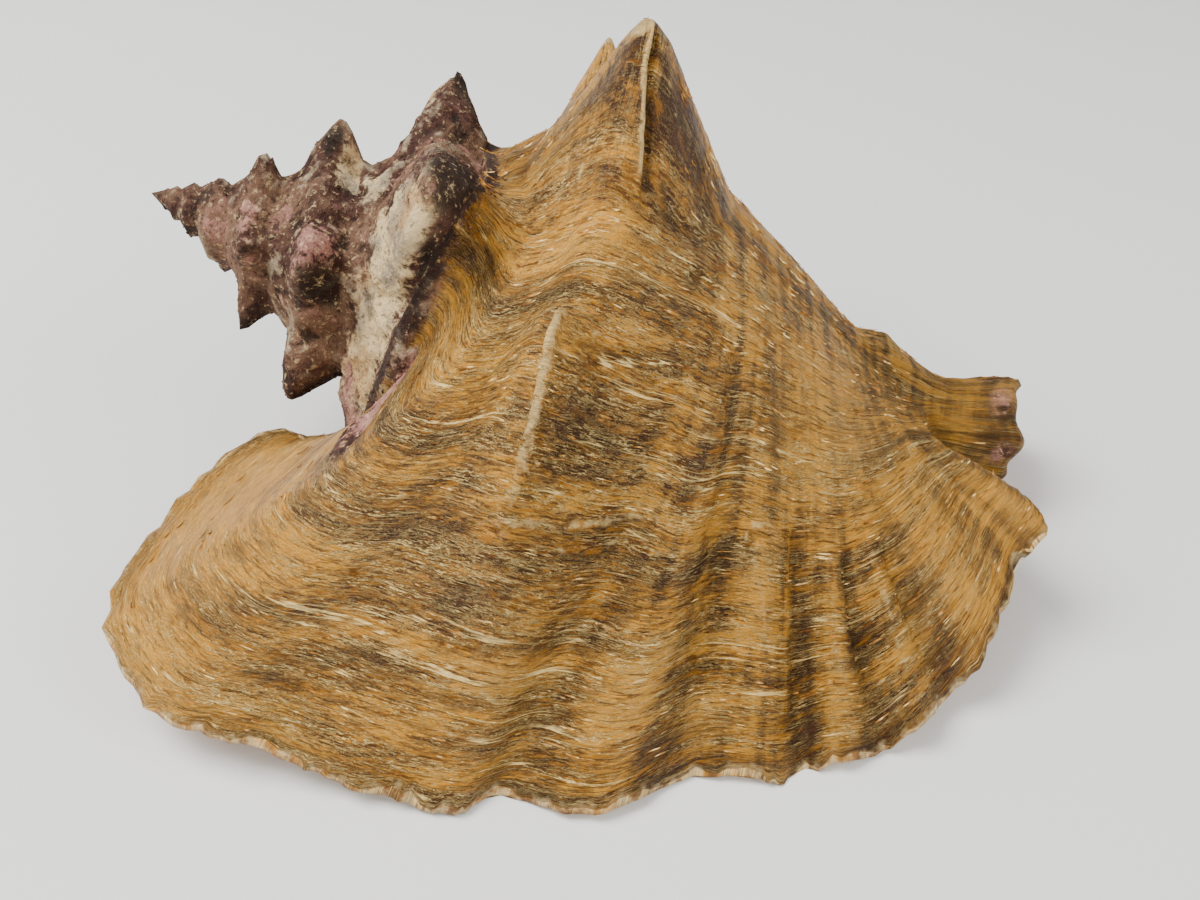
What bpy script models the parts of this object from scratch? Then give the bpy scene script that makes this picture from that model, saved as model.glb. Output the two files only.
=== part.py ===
"""Queen conch shell, lying mouth down on the front of its lip and the worn knobs underneath."""

import math

import bmesh
import bpy
import numpy as np

# The shell's axis at rest, from the apex to the canal: it drops, turns a little to the viewer, and
# the shell is rolled about it, down on its far side
AXIS_DROP = 17.85
AXIS_YAW = -5.8
AXIS_ROLL = -8.9
APEX_AT = (-0.1150, 0.0274, 0.0754)

# The middle of the space that the resting shell takes up on the table
STAND_CENTRE = (-0.0010, -0.0078)

# Turn angles count the growth about the axis, in degrees: 0 is the far side, 90 is up, 180 faces
# the viewer and 270 is underneath. The mouth's edge is the last of them.
MOUTH_ANGLE = 240.0
FLARE_ANGLE = 118.0
POCKET_ANGLE = 44.0
WHORLS = 5
APEX_TIP = (0.001, 0.0, 0.0)
WHORL_GROWTH = 1.58
SIZE_ANGLE = 95.0

# Places on a whorl's section are (along the axis, out from it), at the size it has at SIZE_ANGLE.
# The next whorl covers a section from COVER on.
SHOULDER = (0.1065, 0.0605)
COVER = (0.1260, 0.0545)
# Below the cover: along, out, how far each follows the growth, and the share left in the columella
LOWER = (
    (0.143, 0.0475, 0.70, 0.80, 0.66),
    (0.162, 0.0375, 0.50, 0.72, 0.56),
    (0.182, 0.0250, 0.25, 0.50, 0.54),
    (0.198, 0.0165, 0.10, 0.30, 0.58),
    (0.213, 0.0140, 0.00, 0.00, 0.62),
    (0.229, 0.0165, 0.00, 0.00, 0.56),
)
# Shares of the section's length, from the suture (0) to the canal's end (1), at those places
PROFILE_SHARES = (0.0, 0.08, 0.17, 0.25, 0.33, 0.44, 0.56, 0.70, 0.82, 0.92, 1.0)
COVER_SHARE = 0.33
LIP_COVER_SHARE = 0.13
COVER_TURNS = (-255.0, -120.0)
CLIMBS_FROM = 80.0
# Between suture and shoulder the section passes these shares of the way; where the whorl covers
# more than COVERED_FULLY of the one before, it bulges there, fully from BULGE_FADE less on
RAMP = (0.30, 0.66)
SUTURE_BULGE = 0.0070
COVERED_FULLY = 0.27
BULGE_FADE = 0.14
# Turn angles over which the columella side thins to its own shares, and the early whorls shrink
THINNING_TURNS = (-150.0, -50.0)
EARLY_TURNS = (-800.0, -450.0)
# The canal bends up: height at its end, where along the axis it starts and reaches that height,
# and over which turn angles the bend sets in
CANAL_RISE = 0.012
RISE_ALONG = (0.15, 0.24)
RISE_TURNS = (-160.0, -40.0)
CANAL_DISH = (0.2205, 0.004, -0.001)
# The canal's end is broken off unevenly: waves in a turn, where they start, and their height
RAGGED = ((2, 0.9, 0.0010), (5, 0.6, 0.0010), (9, 1.9, 0.0006))
RAGGED_FROM = 0.92

# Spines on the shoulder: turn angle, height, reach to each side, and how far past the shoulder.
# The last is a low lump on the neck of the canal.
SPINES = (
    (104.0, 0.0270, 0.0240, -0.003),
    (44.0, 0.0330, 0.0130, 0.0),
    (-10.0, 0.0240, 0.0200, 0.0),
    (-68.0, 0.0060, 0.0220, 0.0),
    (-120.0, 0.0250, 0.0240, -0.006),
    (-223.0, 0.0240, 0.0185, 0.0),
    (-302.0, 0.0200, 0.0140, 0.0),
    (80.0, 0.0050, 0.0140, 0.088),
)
# How far a spine's foot reaches to the apex and to the canal, against its reach to the sides; how
# its flanks curve; how blunt its tip is; and the least radius, as a share of the shoulder's, at
# which its width is measured round the axis
SPINE_FOOT = (0.62, 1.40)
SPINE_CURVE = 1.10
SPINE_TIP = 0.07
SPINE_ROOT = 0.6
# Turn angles of the spire's spines, which shrink with their whorls
SPIRE_SPINES = (-370, -428, -492, -556, -634, -702, -774, -840, -906, -976, -1036, -1096, -1156)
SPIRE_SPINE_HEIGHT = 0.026
SPIRE_SPINE_REACH = 0.021

# The lip's free edge at rest: share of the section, then x, y and height above the table
LIP_EDGE = (
    (0.010, -0.0664, -0.0176, 0.0251),
    (0.035, -0.0760, -0.0108, 0.0261),
    (0.060, -0.0864, -0.0046, 0.0232),
    (0.085, -0.0990, -0.0106, 0.0180),
    (0.110, -0.1079, -0.0358, 0.0157),
    (0.135, -0.1112, -0.0623, 0.0156),
    (0.160, -0.1040, -0.0790, 0.0141),
    (0.185, -0.0939, -0.0893, 0.0115),
    (0.220, -0.0733, -0.0959, 0.0095),
    (0.250, -0.0566, -0.1014, 0.0063),
    (0.290, -0.0331, -0.1066, 0.0020),
    (0.340, -0.0196, -0.1035, 0.0026),
    (0.400, 0.0000, -0.1080, 0.0022),
    (0.450, 0.0209, -0.0989, 0.0039),
    (0.500, 0.0377, -0.0996, 0.0010),
    (0.545, 0.0450, -0.0948, 0.0013),
    (0.580, 0.0554, -0.0949, 0.0033),
    (0.620, 0.0664, -0.0886, 0.0054),
    (0.665, 0.0794, -0.0783, 0.0099),
    (0.710, 0.0900, -0.0644, 0.0149),
    (0.755, 0.0961, -0.0534, 0.0214),
    (0.800, 0.1030, -0.0472, 0.0275),
    (0.850, 0.0994, -0.0338, 0.0235),
)
LIP_TIP_SHARE = 0.93
# The lip leaves the whorl with a pull onward, more of it near the suture, and comes to its edge with
# a pull outwards and down. The rows that are held to the whorl, at the suture and at the canal,
# swing out later near the suture.
LEAVE = (1.25, 0.60)
ARRIVE = (0.81, 0.387)
GUIDE = (2.2, 3.4)
NEAR_SUTURE = (0.06, 0.24)
HELD_AT_SUTURE = (0.0, 0.15)
HELD_AT_CANAL = (0.84, 0.94)
CANAL_ANGLE = 208.0

# The keel on the lip: turn angle and height, then where its crest runs and how far it spreads
KEEL_HEIGHTS = ((147.0, 0.0), (155.0, 0.0125), (172.0, 0.0095), (195.0, 0.0050), (240.0, 0.0015))
KEEL_CREST = ((146.0, 0.231), (200.0, 0.271), (240.0, 0.296))
KEEL_SPREAD = (0.050, 0.036)
KEEL_CURVE = 1.2
# Ribs (up) and grooves (down) of the lip: share of the section and height at the free edge
FLUTES = (
    (0.300, 0.0), (0.345, -0.0010), (0.400, 0.0014), (0.450, -0.0020), (0.488, 0.0030), (0.530, -0.0024),
    (0.568, 0.0022), (0.598, -0.0022), (0.625, 0.0020), (0.650, -0.0020), (0.690, 0.0014), (0.740, 0.0),
)
FLUTE_START = 150.0
# A dent in the canal's near side: depth, then its turn angle and share of the section, and how far
# it reaches in each
CANAL_DENT = 0.0030
DENT_AT = (172.0, 0.91)
DENT_REACH = (40.0, 0.10)

# Thickness of the wall at turn angles, down to the lip's thin edge
WALL_AT_SUTURE = 0.0015
CANAL_THINNING = 0.60
FULL_WALL = (0.0, 0.16)
THIN_WALL = (0.68, 0.88)
WALL = ((FLARE_ANGLE, 0.0040), (165.0, 0.0070), (205.0, 0.0070), (230.0, 0.0034), (MOUTH_ANGLE, 0.0022))
RIM_ROUND = 0.35
SUTURE_STEP = 0.03
TUCK_TURN = 40.0
SUTURE_FADE = 0.10
# The inside runs straight from the suture to this place on its row
STRAIGHT_TO = 0.075
OUTER_GAP = 0.0035
INNER_GAP = 0.0010

# How finely the solid is cut: widest step between rows, and the places along a row
BODY_STEP = 12.0
LIP_STEP = 5.2
SPIRE_PLACES = (0.0, 0.25, 0.50, 0.7576, 0.88, 1.0)
WORN_KNOB = (-73.0, -63.0)
PLACES = (
    0.0, 0.025, 0.05, 0.075, 0.10, 0.13, 0.145, 0.165, 0.185, 0.205, 0.225, 0.25, 0.285, 0.33, 0.37, 0.41,
    0.45, 0.488, 0.53, 0.568, 0.598, 0.625, 0.65, 0.68, 0.715, 0.755, 0.80, 0.85, 0.90, 0.95, 1.0,
)


def spline(knots, points, at):
    """Points of a smooth curve through the given points, at other values of the knots."""
    knots = np.asarray(knots, float)
    points = np.asarray(points, float)
    step = np.diff(knots)[:, None]
    slope = np.diff(points, axis=0) / step
    tangent = np.empty_like(points)
    tangent[0] = slope[0]
    tangent[-1] = slope[-1]
    tangent[1:-1] = (slope[:-1] * step[1:] + slope[1:] * step[:-1]) / (step[:-1] + step[1:])
    at = np.clip(np.asarray(at, float), knots[0], knots[-1])
    i = np.clip(np.searchsorted(knots, at, side="right") - 1, 0, len(knots) - 2)
    h = step[i]
    t = (at - knots[i])[:, None] / h
    return hermite(t, points[i], h * tangent[i], points[i + 1], h * tangent[i + 1])


def hermite(t, start, leave, end, arrive):
    """A cubic from start to end with those tangents, at shares t of the way."""
    return ((2 * t**3 - 3 * t**2 + 1) * start + (t**3 - 2 * t**2 + t) * leave
            + (3 * t**2 - 2 * t**3) * end + (t**3 - t**2) * arrive)


def ease(x):
    """A smooth step from 0 to 1."""
    x = np.clip(x, 0.0, 1.0)
    return x * x * (3 - 2 * x)


def between(x, limits):
    """A smooth step from 0 at the first limit to 1 at the second."""
    return ease((x - limits[0]) / (limits[1] - limits[0]))


def unit(vectors):
    return vectors / np.maximum(np.linalg.norm(vectors, axis=-1, keepdims=True), 1e-9)


def growth(angle):
    """Size of the whorl at a turn angle."""
    return WHORL_GROWTH ** ((angle - SIZE_ANGLE) / 360.0)


def section_points(angle, suture):
    """Points that a whorl's section goes through, as (along, out)."""
    size = growth(angle)
    if suture is None:
        suture = np.array(COVER) * size / WHORL_GROWTH
    shoulder = np.array(SHOULDER) * size
    bulge = np.array([0.0, SUTURE_BULGE * ease((COVERED_FULLY - cover_share(angle - 360.0)) / BULGE_FADE)])
    points = [suture, suture + (shoulder - suture) * RAMP[0] + bulge]
    points += [suture + (shoulder - suture) * RAMP[1] + bulge / 2, shoulder, np.array(COVER) * size]
    inner = 1 - between(angle, THINNING_TURNS)
    buried = 1 - between(angle, EARLY_TURNS)
    for along, out, along_follows, out_follows, columella in LOWER:
        free = out * (1 + (size - 1) * (out_follows + (1 - out_follows) * buried))
        kept = free * (1 - inner) + min(free, out * columella) * inner
        longer = 1 + (size - 1) * (along_follows + (1 - along_follows) * buried)
        points.append(np.array([along * longer, kept]))
    return np.array(points)


def cover_share(angle):
    """Where on a whorl the next one starts: the flaring lip climbs up the shoulder."""
    return COVER_SHARE + (LIP_COVER_SHARE - COVER_SHARE) * float(between(angle, COVER_TURNS))


def section(angle, shares):
    """A whorl's section, as (along, out) at shares of its length."""
    suture = None
    if angle > CLIMBS_FROM:
        below = section_points(angle - 360.0, None)
        suture = spline(PROFILE_SHARES, below, [cover_share(angle - 360.0)])[0]
    return spline(PROFILE_SHARES, section_points(angle, suture), shares)


def all_spines():
    """The spines of the last two whorls and of the spire."""
    spines = list(SPINES)
    for angle in SPIRE_SPINES:
        size = growth(angle)
        spines.append((angle, SPIRE_SPINE_HEIGHT * size, SPIRE_SPINE_REACH * size, 0.0))
    return spines


def mouth_knobs():
    """The knobs that the lip's wall is grown onto."""
    return [spine for spine in SPINES if MOUTH_ANGLE - 361.0 < spine[0] < MOUTH_ANGLE - 300.0]


def spine_lift(angle, along, out, spines):
    """How far the spines lift points of one section outwards."""
    lift = np.zeros_like(along)
    for turn, height, reach, shift in spines:
        size = growth(turn)
        radius = np.maximum(out, SPINE_ROOT * SHOULDER[1] * size) if shift <= 0 else out
        side = math.radians(angle - turn) * radius
        past = along - SHOULDER[0] * size - shift
        past = past / np.where(past < 0, *SPINE_FOOT)
        far = np.hypot(np.hypot(side, past) / reach, SPINE_TIP) - SPINE_TIP
        lift = np.maximum(lift, height * np.clip(1 - far, 0, 1) ** SPINE_CURVE)
    return lift


def whorl_row(angle, shares, spines=()):
    """One row of a whorl's outside, in the shell's own frame: along the axis, far side, up."""
    shares = np.asarray(shares, float)
    along, out = section(angle, shares).T
    below = section(angle - 360.0, [cover_share(angle - 360.0)]).T
    carried = spine_lift(angle - 360.0, *below, spines)[0]
    covered = carried * np.clip(1 - shares / SUTURE_FADE, 0, 1) ** 2
    out = out + np.maximum(spine_lift(angle, along, out, spines), covered)
    waves = sum(height * math.sin(count * math.radians(angle) + start) for count, start, height in RAGGED)
    along = along + waves * between(shares, (RAGGED_FROM, 1.0))
    bent = np.clip((along - RISE_ALONG[0]) / (RISE_ALONG[1] - RISE_ALONG[0]), 0, 1)
    rise = CANAL_RISE * bent**2 * between(angle, RISE_TURNS)
    turn = math.radians(angle)
    return np.stack([along, out * math.cos(turn), out * math.sin(turn) + rise], -1)


def rest_axes():
    """The shell's own axes at rest: along its axis, to the far side, and up."""
    drop, yaw, roll = (math.radians(angle) for angle in (AXIS_DROP, AXIS_YAW, AXIS_ROLL))
    along = np.array([math.cos(drop) * math.cos(yaw), math.cos(drop) * math.sin(yaw), -math.sin(drop)])
    level = np.array([-math.sin(yaw), math.cos(yaw), 0.0])
    far = math.cos(roll) * level + math.sin(roll) * np.cross(along, level)
    return np.array([along, far, np.cross(along, far)])


AXES = rest_axes()


def lip_edge(shares):
    """The lip's free edge, from where it meets the spire to the canal's end."""
    start = whorl_row(MOUTH_ANGLE, [0.0], all_spines())[0]
    tip = whorl_row(CANAL_ANGLE, [LIP_TIP_SHARE, 1.0])
    free = [AXES @ (np.array(place[1:]) - np.array(APEX_AT)) for place in LIP_EDGE]
    knots = [0.0] + [place[0] for place in LIP_EDGE] + [LIP_TIP_SHARE, 1.0]
    return spline(knots, [start] + free + list(tip), shares)


def lip_rows(angles, shares):
    """Smooth rows of the flaring lip, from FLARE_ANGLE to its free edge."""
    shares = np.asarray(shares, float)
    t = ((np.asarray(angles) - FLARE_ANGLE) / (MOUTH_ANGLE - FLARE_ANGLE))[:, None, None]
    start = whorl_row(FLARE_ANGLE, shares)
    mouth = whorl_row(MOUTH_ANGLE, shares)
    edge = lip_edge(shares) - (whorl_row(MOUTH_ANGLE, shares, all_spines()) - mouth)
    reach = np.linalg.norm(edge - start, axis=1, keepdims=True)
    down = AXES @ np.array([0.0, 0.0, -1.0])
    chord = unit(edge - start)
    flat = unit(chord - (chord @ down)[:, None] * down)
    near = (1 - between(shares, NEAR_SUTURE))[:, None]
    leave = unit(start - whorl_row(FLARE_ANGLE - 2.0, shares)) * reach * (LEAVE[0] + LEAVE[1] * near)
    arrive = (flat * ARRIVE[0] + down * ARRIVE[1]) * reach
    flared = hermite(t, start, leave, edge, arrive)
    wound = np.array([whorl_row(angle, shares) for angle in angles])
    guided = wound + (edge - mouth) * t ** (GUIDE[0] + GUIDE[1] * near)
    held = np.maximum(1 - between(shares, HELD_AT_SUTURE), between(shares, HELD_AT_CANAL))[None, :, None]
    return flared * (1 - held) + guided * held


def smooth_rows(angles, shares):
    """Rows of the last whorl and lip, without their spines and relief."""
    rows = [whorl_row(angle, shares) for angle in angles if angle <= FLARE_ANGLE]
    flaring = [angle for angle in angles if angle > FLARE_ANGLE]
    if flaring:
        rows += list(lip_rows(flaring, shares))
    return np.array(rows)


def outward(rows):
    """Directions square to a grid of rows, away from the shell's axis."""
    across = np.gradient(rows, axis=1)
    onward = np.gradient(rows, axis=0)
    return unit(np.cross(onward, across))


def keel_and_flutes(angle, shares):
    """Heights of the keel and of the flutes on one row of the lip."""
    keel_turns, keel_heights = zip(*KEEL_HEIGHTS)
    crest_turns, crest_places = zip(*KEEL_CREST)
    off = shares - np.interp(angle, crest_turns, crest_places)
    spread = np.where(off < 0, KEEL_SPREAD[0], KEEL_SPREAD[1])
    keel = np.interp(angle, keel_turns, keel_heights) * np.clip(1 - np.abs(off) / spread, 0, 1) ** KEEL_CURVE
    places, heights = zip(*FLUTES)
    strength = between(angle, (FLUTE_START, MOUTH_ANGLE))
    wave = spline(places, np.array(heights)[:, None], shares)[:, 0]
    far = np.hypot((angle - DENT_AT[0]) / DENT_REACH[0], (shares - DENT_AT[1]) / DENT_REACH[1])
    return keel, wave * strength - CANAL_DENT * ease(1 - far)


def lip_walls(angles, shares):
    """Rows of the outside and of the inside of the last whorl and lip."""
    shares = np.asarray(shares, float)
    smooth = smooth_rows(angles, shares)
    normal = outward(smooth)
    outer = np.empty_like(smooth)
    inner = np.empty_like(smooth)
    for i, angle in enumerate(angles):
        keel, flutes = keel_and_flutes(angle, shares)
        spines = whorl_row(angle, shares, all_spines()) - whorl_row(angle, shares)
        thick = np.interp(angle, *zip(*WALL)) - WALL_AT_SUTURE
        thick = thick * between(shares, FULL_WALL) * (1 - CANAL_THINNING * between(shares, THIN_WALL))
        thick = thick + WALL_AT_SUTURE
        outer[i] = smooth[i] + normal[i] * (keel + flutes)[:, None] + spines
        inner[i] = smooth[i] + normal[i] * (flutes - thick)[:, None]
    return outer, inner


def clear_of_spire(row, angle, gap):
    """A row of the lip's wall, moved out where it would come nearer to the whorl below."""
    along, out = section(angle - 360.0, np.linspace(0.0, 0.7, 60)).T
    below = out + spine_lift(angle - 360.0, along, out, mouth_knobs())
    radius = np.hypot(row[:, 1], row[:, 2])
    wanted = np.interp(row[:, 0], along, below) + gap
    near = (row[:, 0] < along[-1]) & (radius < wanted)
    scale = np.where(near, wanted / radius, 1.0)[:, None]
    return row * np.concatenate([np.ones_like(scale), scale, scale], axis=1)


def row_angles():
    """Turn angles of all rows, the same in each turn, with rows on the last whorls' spines."""
    parting = MOUTH_ANGLE - 360.0
    stops = {parting, FLARE_ANGLE, MOUTH_ANGLE}
    for angle in [place[0] for place in SPINES] + list(WORN_KNOB):
        stops.add(angle if angle > parting else angle + 360.0)
    stops = sorted(stops)
    turn_angles = []
    for start, end in zip(stops, stops[1:]):
        widest = LIP_STEP if start >= FLARE_ANGLE else BODY_STEP
        count = math.ceil((end - start) / widest - 1e-6)
        turn_angles += [start + (end - start) * (k + 1) / count for k in range(count)]
    rows = [MOUTH_ANGLE - 360.0 * WHORLS]
    for whorl in range(WHORLS):
        rows += [angle - 360.0 * (WHORLS - 1 - whorl) for angle in turn_angles]
    return rows, len(turn_angles)


class Skin:
    """Corners and faces of the one closed skin, joined row by row."""

    def __init__(self):
        self.corners = []
        self.faces = []

    def add(self, points):
        """New corners at the points; their numbers."""
        first = len(self.corners)
        self.corners.extend(points)
        return list(range(first, len(self.corners)))

    def join(self, first, second):
        """Faces between two rows of corners, which may differ in number or share their ends."""
        i = j = 0
        while i < len(first) - 1 or j < len(second) - 1:
            next_i = (i + 1) / (len(first) - 1) if i < len(first) - 1 else 2.0
            next_j = (j + 1) / (len(second) - 1) if j < len(second) - 1 else 2.0
            face = [first[i], second[j]]
            if next_j <= next_i + 1e-6:
                j += 1
                face.append(second[j])
            if next_i <= next_j + 1e-6:
                i += 1
                face.append(first[i])
            face = list(dict.fromkeys(face))
            if len(face) > 2:
                self.faces.append(face)


def build_skin():
    """The whole shell as one closed skin: spire, last whorl, lip, pocket and canal."""
    skin = Skin()
    angles, turn = row_angles()
    last = len(angles) - 1
    parting = last - turn
    joint = PLACES.index(LIP_COVER_SHARE)
    back = next(i for i in range(parting, last) if angles[i] >= POCKET_ANGLE - 1e-6)

    # Spire: each row ends on the corner that the whorl after it starts from
    spines = all_spines()
    apex = skin.add([APEX_TIP])[0]
    rows = [[apex] + skin.add(whorl_row(angles[0], [cover_share(angles[0])], spines))]
    for i in range(1, parting):
        places = np.array(SPIRE_PLACES) * cover_share(angles[i])
        start = apex if i < turn else rows[i - turn][-1]
        rows.append([start] + skin.add(whorl_row(angles[i], places, spines)[1:]))
        skin.join(rows[i - 1], rows[i])

    # Last whorl and lip, from the row where the spire's whorl and the free one part
    body = angles[parting:]
    outer, inner = lip_walls(body, PLACES)
    full = [[rows[parting - turn][-1]] + skin.add(outer[0][1:])]
    skin.join(rows[-1], full[0][:joint + 1])
    for i in range(1, len(body)):
        below = rows[parting + i - turn][-1] if i < turn else full[0][joint]
        full.append([below] + skin.add(clear_of_spire(outer[i], body[i], OUTER_GAP)[1:]))
        skin.join(full[i - 1], full[i])

    # Columella side of the pocket: the earlier whorl, inside the mouth
    steps = (np.array(PLACES[joint:]) - LIP_COVER_SHARE) / (1 - LIP_COVER_SHARE)
    core = []
    for i in range(back - turn, parting):
        tuck = SUTURE_STEP * float(ease((angles[parting] - angles[i]) / TUCK_TURN))
        start = cover_share(angles[i]) + tuck
        core.append(skin.add(whorl_row(angles[i], start + (1 - start) * steps, mouth_knobs())))
    core.append(full[0][joint:])
    for one, other in zip(core, core[1:]):
        skin.join(one, other)

    # Inner wall of the last whorl and lip, from the pocket's back to the rim
    walls = []
    for i, behind in enumerate(core):
        row = inner[back - parting + i]
        start = np.array(skin.corners[behind[0]])
        near = np.clip(1 - np.array(PLACES) / SUTURE_FADE, 0, 1)[:, None] ** 2
        row = row + (start - row[0]) * near
        skipped = PLACES.index(STRAIGHT_TO)
        row = clear_of_spire(row, angles[back + i], INNER_GAP)[skipped:]
        walls.append([behind[0]] * skipped + skin.add(row))
    for one, other in zip(walls, walls[1:]):
        skin.join(other, one)
    skin.join(walls[0], core[0])

    # Rounded rim along the mouth and round the canal's end
    first = back - parting
    mouth = rim_row(skin, full[-1][1:], walls[-1][1:], full[-2][1:])
    mouth = [full[-1][0]] + mouth
    skin.join(full[-1], mouth)
    skin.join(mouth, walls[-1])
    outside = [row[-1] for row in full[first:]]
    inside = [row[-1] for row in walls]
    before = [row[-2] for row in full[first:]]
    end = rim_row(skin, outside[:-1], inside[:-1], before[:-1]) + [mouth[-1]]
    skin.join(outside, end)
    skin.join(end, inside)

    # Canal's end: a shallow dish inside the rim
    ring = [row[-1] for row in core] + [row[-1] for row in full[1:first + 1]] + [end[0], inside[0]]
    hub = skin.add([CANAL_DISH])[0]
    for one, other in zip(ring, ring[1:] + ring[:1]):
        skin.faces.append([one, other, hub])
    return skin


def rim_row(skin, outside, inside, before):
    """Corners of the rounded edge between two rows, past the row before."""
    points = []
    for a, b, c in zip(outside, inside, before):
        a, b, c = (np.array(skin.corners[corner]) for corner in (a, b, c))
        points.append((a + b) / 2 + unit(a - c) * np.linalg.norm(a - b) * RIM_ROUND)
    return skin.add(points)


def shell_material():
    material = bpy.data.materials.new("shell_ochre")
    material.use_nodes = True
    shader = material.node_tree.nodes["Principled BSDF"]
    shader.inputs["Base Color"].default_value = (0.45, 0.26, 0.09, 1.0)
    shader.inputs["Roughness"].default_value = 0.62
    shader.inputs["Metallic"].default_value = 0.0
    return material


def make_shell(collection):
    """The shell's mesh at rest on the table, worn flat where it would reach below it."""
    skin = build_skin()
    corners = np.array(skin.corners) @ AXES + np.array(APEX_AT)
    corners[:, :2] -= STAND_CENTRE
    corners[:, 2] = np.maximum(corners[:, 2], 0.0)
    mesh = bpy.data.meshes.new("shell")
    mesh.from_pydata(corners.tolist(), [], skin.faces)
    grid = bmesh.new()
    grid.from_mesh(mesh)
    bmesh.ops.recalc_face_normals(grid, faces=grid.faces)
    grid.to_mesh(mesh)
    grid.free()
    mesh.shade_smooth()
    mesh.materials.append(shell_material())
    shell = bpy.data.objects.new("shell", mesh)
    collection.objects.link(shell)


def main():
    for item in list(bpy.data.objects):
        bpy.data.objects.remove(item)
    collection = bpy.data.collections.new("queen_conch_shell")
    bpy.context.scene.collection.children.link(collection)
    make_shell(collection)


main()
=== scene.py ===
"""Looks of the queen conch shell: its grown skin, crusted spire, glazed mouth and pale stage."""

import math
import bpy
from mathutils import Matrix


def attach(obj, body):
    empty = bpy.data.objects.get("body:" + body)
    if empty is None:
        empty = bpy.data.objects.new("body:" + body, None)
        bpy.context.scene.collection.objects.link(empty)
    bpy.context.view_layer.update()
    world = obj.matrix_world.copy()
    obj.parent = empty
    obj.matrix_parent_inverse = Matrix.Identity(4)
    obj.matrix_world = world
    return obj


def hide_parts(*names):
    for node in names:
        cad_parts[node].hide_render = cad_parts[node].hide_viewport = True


bl_info = {
    "name": "Queen Conch Shell",
    "version": (1, 0, 0),
    "blender": (4, 5, 0),
    "location": "View3D > Sidebar > Conch",
    "description": "Builds the skin, crust, flakes and stage of a queen conch shell",
    "category": "Add Mesh",
}

import bmesh
import bpy
import numpy as np
from mathutils import Vector

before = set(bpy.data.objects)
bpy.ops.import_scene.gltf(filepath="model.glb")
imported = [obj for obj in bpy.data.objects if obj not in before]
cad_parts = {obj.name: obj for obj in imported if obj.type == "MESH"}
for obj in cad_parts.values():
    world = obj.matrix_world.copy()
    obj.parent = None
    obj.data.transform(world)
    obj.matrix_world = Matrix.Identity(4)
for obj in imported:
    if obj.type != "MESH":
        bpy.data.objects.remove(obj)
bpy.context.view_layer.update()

# The shell's axis at rest, from the apex to the canal: it drops, turns a little to the viewer, and
# the shell is rolled about it, down on its far side
AXIS_DROP = 17.85
AXIS_YAW = -5.8
AXIS_ROLL = -8.9
APEX_AT = (-0.1150, 0.0274, 0.0754)

# The middle of the space that the resting shell takes up on the table
STAND_CENTRE = (-0.0010, -0.0078)

# Turn angles count the growth about the axis, in degrees: 0 is the far side, 90 is up, 180 faces
# the viewer and 270 is underneath. The mouth's edge is the last of them.
MOUTH_ANGLE = 240.0
FLARE_ANGLE = 118.0
POCKET_ANGLE = 44.0
WHORLS = 7
APEX_TIP = (0.001, 0.0, 0.0)
WHORL_GROWTH = 1.58
SIZE_ANGLE = 95.0

# Places on a whorl's section are (along the axis, out from it), at the size it has at SIZE_ANGLE.
# The next whorl covers a section from COVER on.
SHOULDER = (0.1065, 0.0605)
COVER = (0.1260, 0.0545)
# Below the cover: along, out, how far each follows the growth, and the share left in the columella
LOWER = (
    (0.143, 0.0475, 0.70, 0.80, 0.66),
    (0.162, 0.0375, 0.50, 0.72, 0.56),
    (0.182, 0.0250, 0.25, 0.50, 0.54),
    (0.198, 0.0165, 0.10, 0.30, 0.58),
    (0.213, 0.0140, 0.00, 0.00, 0.62),
    (0.229, 0.0165, 0.00, 0.00, 0.56),
)
# Shares of the section's length, from the suture (0) to the canal's end (1), at those places
PROFILE_SHARES = (0.0, 0.08, 0.17, 0.25, 0.33, 0.44, 0.56, 0.70, 0.82, 0.92, 1.0)
COVER_SHARE = 0.33
LIP_COVER_SHARE = 0.13
COVER_TURNS = (-255.0, -120.0)
CLIMBS_FROM = 80.0
# Between suture and shoulder the section passes these shares of the way; where the whorl covers
# more than COVERED_FULLY of the one before, it bulges there, fully from BULGE_FADE less on
RAMP = (0.30, 0.66)
SUTURE_BULGE = 0.0070
COVERED_FULLY = 0.27
BULGE_FADE = 0.14
# Turn angles over which the columella side thins to its own shares, and the early whorls shrink
THINNING_TURNS = (-150.0, -50.0)
EARLY_TURNS = (-800.0, -450.0)
# The canal bends up: height at its end, where along the axis it starts and reaches that height,
# and over which turn angles the bend sets in
CANAL_RISE = 0.012
RISE_ALONG = (0.15, 0.24)
RISE_TURNS = (-160.0, -40.0)
CANAL_DISH = (0.2205, 0.004, -0.001)
# The canal's end is broken off unevenly: waves in a turn, where they start, and their height
RAGGED = ((2, 0.9, 0.0010), (5, 0.6, 0.0010), (9, 1.9, 0.0006))
RAGGED_FROM = 0.92

# Spines on the shoulder: turn angle, height, reach to each side, and how far past the shoulder.
# The last is a low lump on the neck of the canal.
SPINES = (
    (104.0, 0.0270, 0.0240, -0.003),
    (44.0, 0.0330, 0.0130, 0.0),
    (-10.0, 0.0240, 0.0200, 0.0),
    (-68.0, 0.0060, 0.0220, 0.0),
    (-120.0, 0.0250, 0.0240, -0.006),
    (-223.0, 0.0240, 0.0185, 0.0),
    (-302.0, 0.0200, 0.0140, 0.0),
    (80.0, 0.0050, 0.0140, 0.088),
)
# How far a spine's foot reaches to the apex and to the canal, against its reach to the sides; how
# its flanks curve; how blunt its tip is; and the least radius, as a share of the shoulder's, at
# which its width is measured round the axis
SPINE_FOOT = (0.62, 1.40)
SPINE_CURVE = 1.10
SPINE_TIP = 0.07
SPINE_ROOT = 0.6
# Turn angles of the spire's spines, which shrink with their whorls
SPIRE_SPINES = (-370, -428, -492, -556, -634, -702, -774, -840, -906, -976, -1036, -1096, -1156)
SPIRE_SPINE_HEIGHT = 0.026
SPIRE_SPINE_REACH = 0.021

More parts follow.
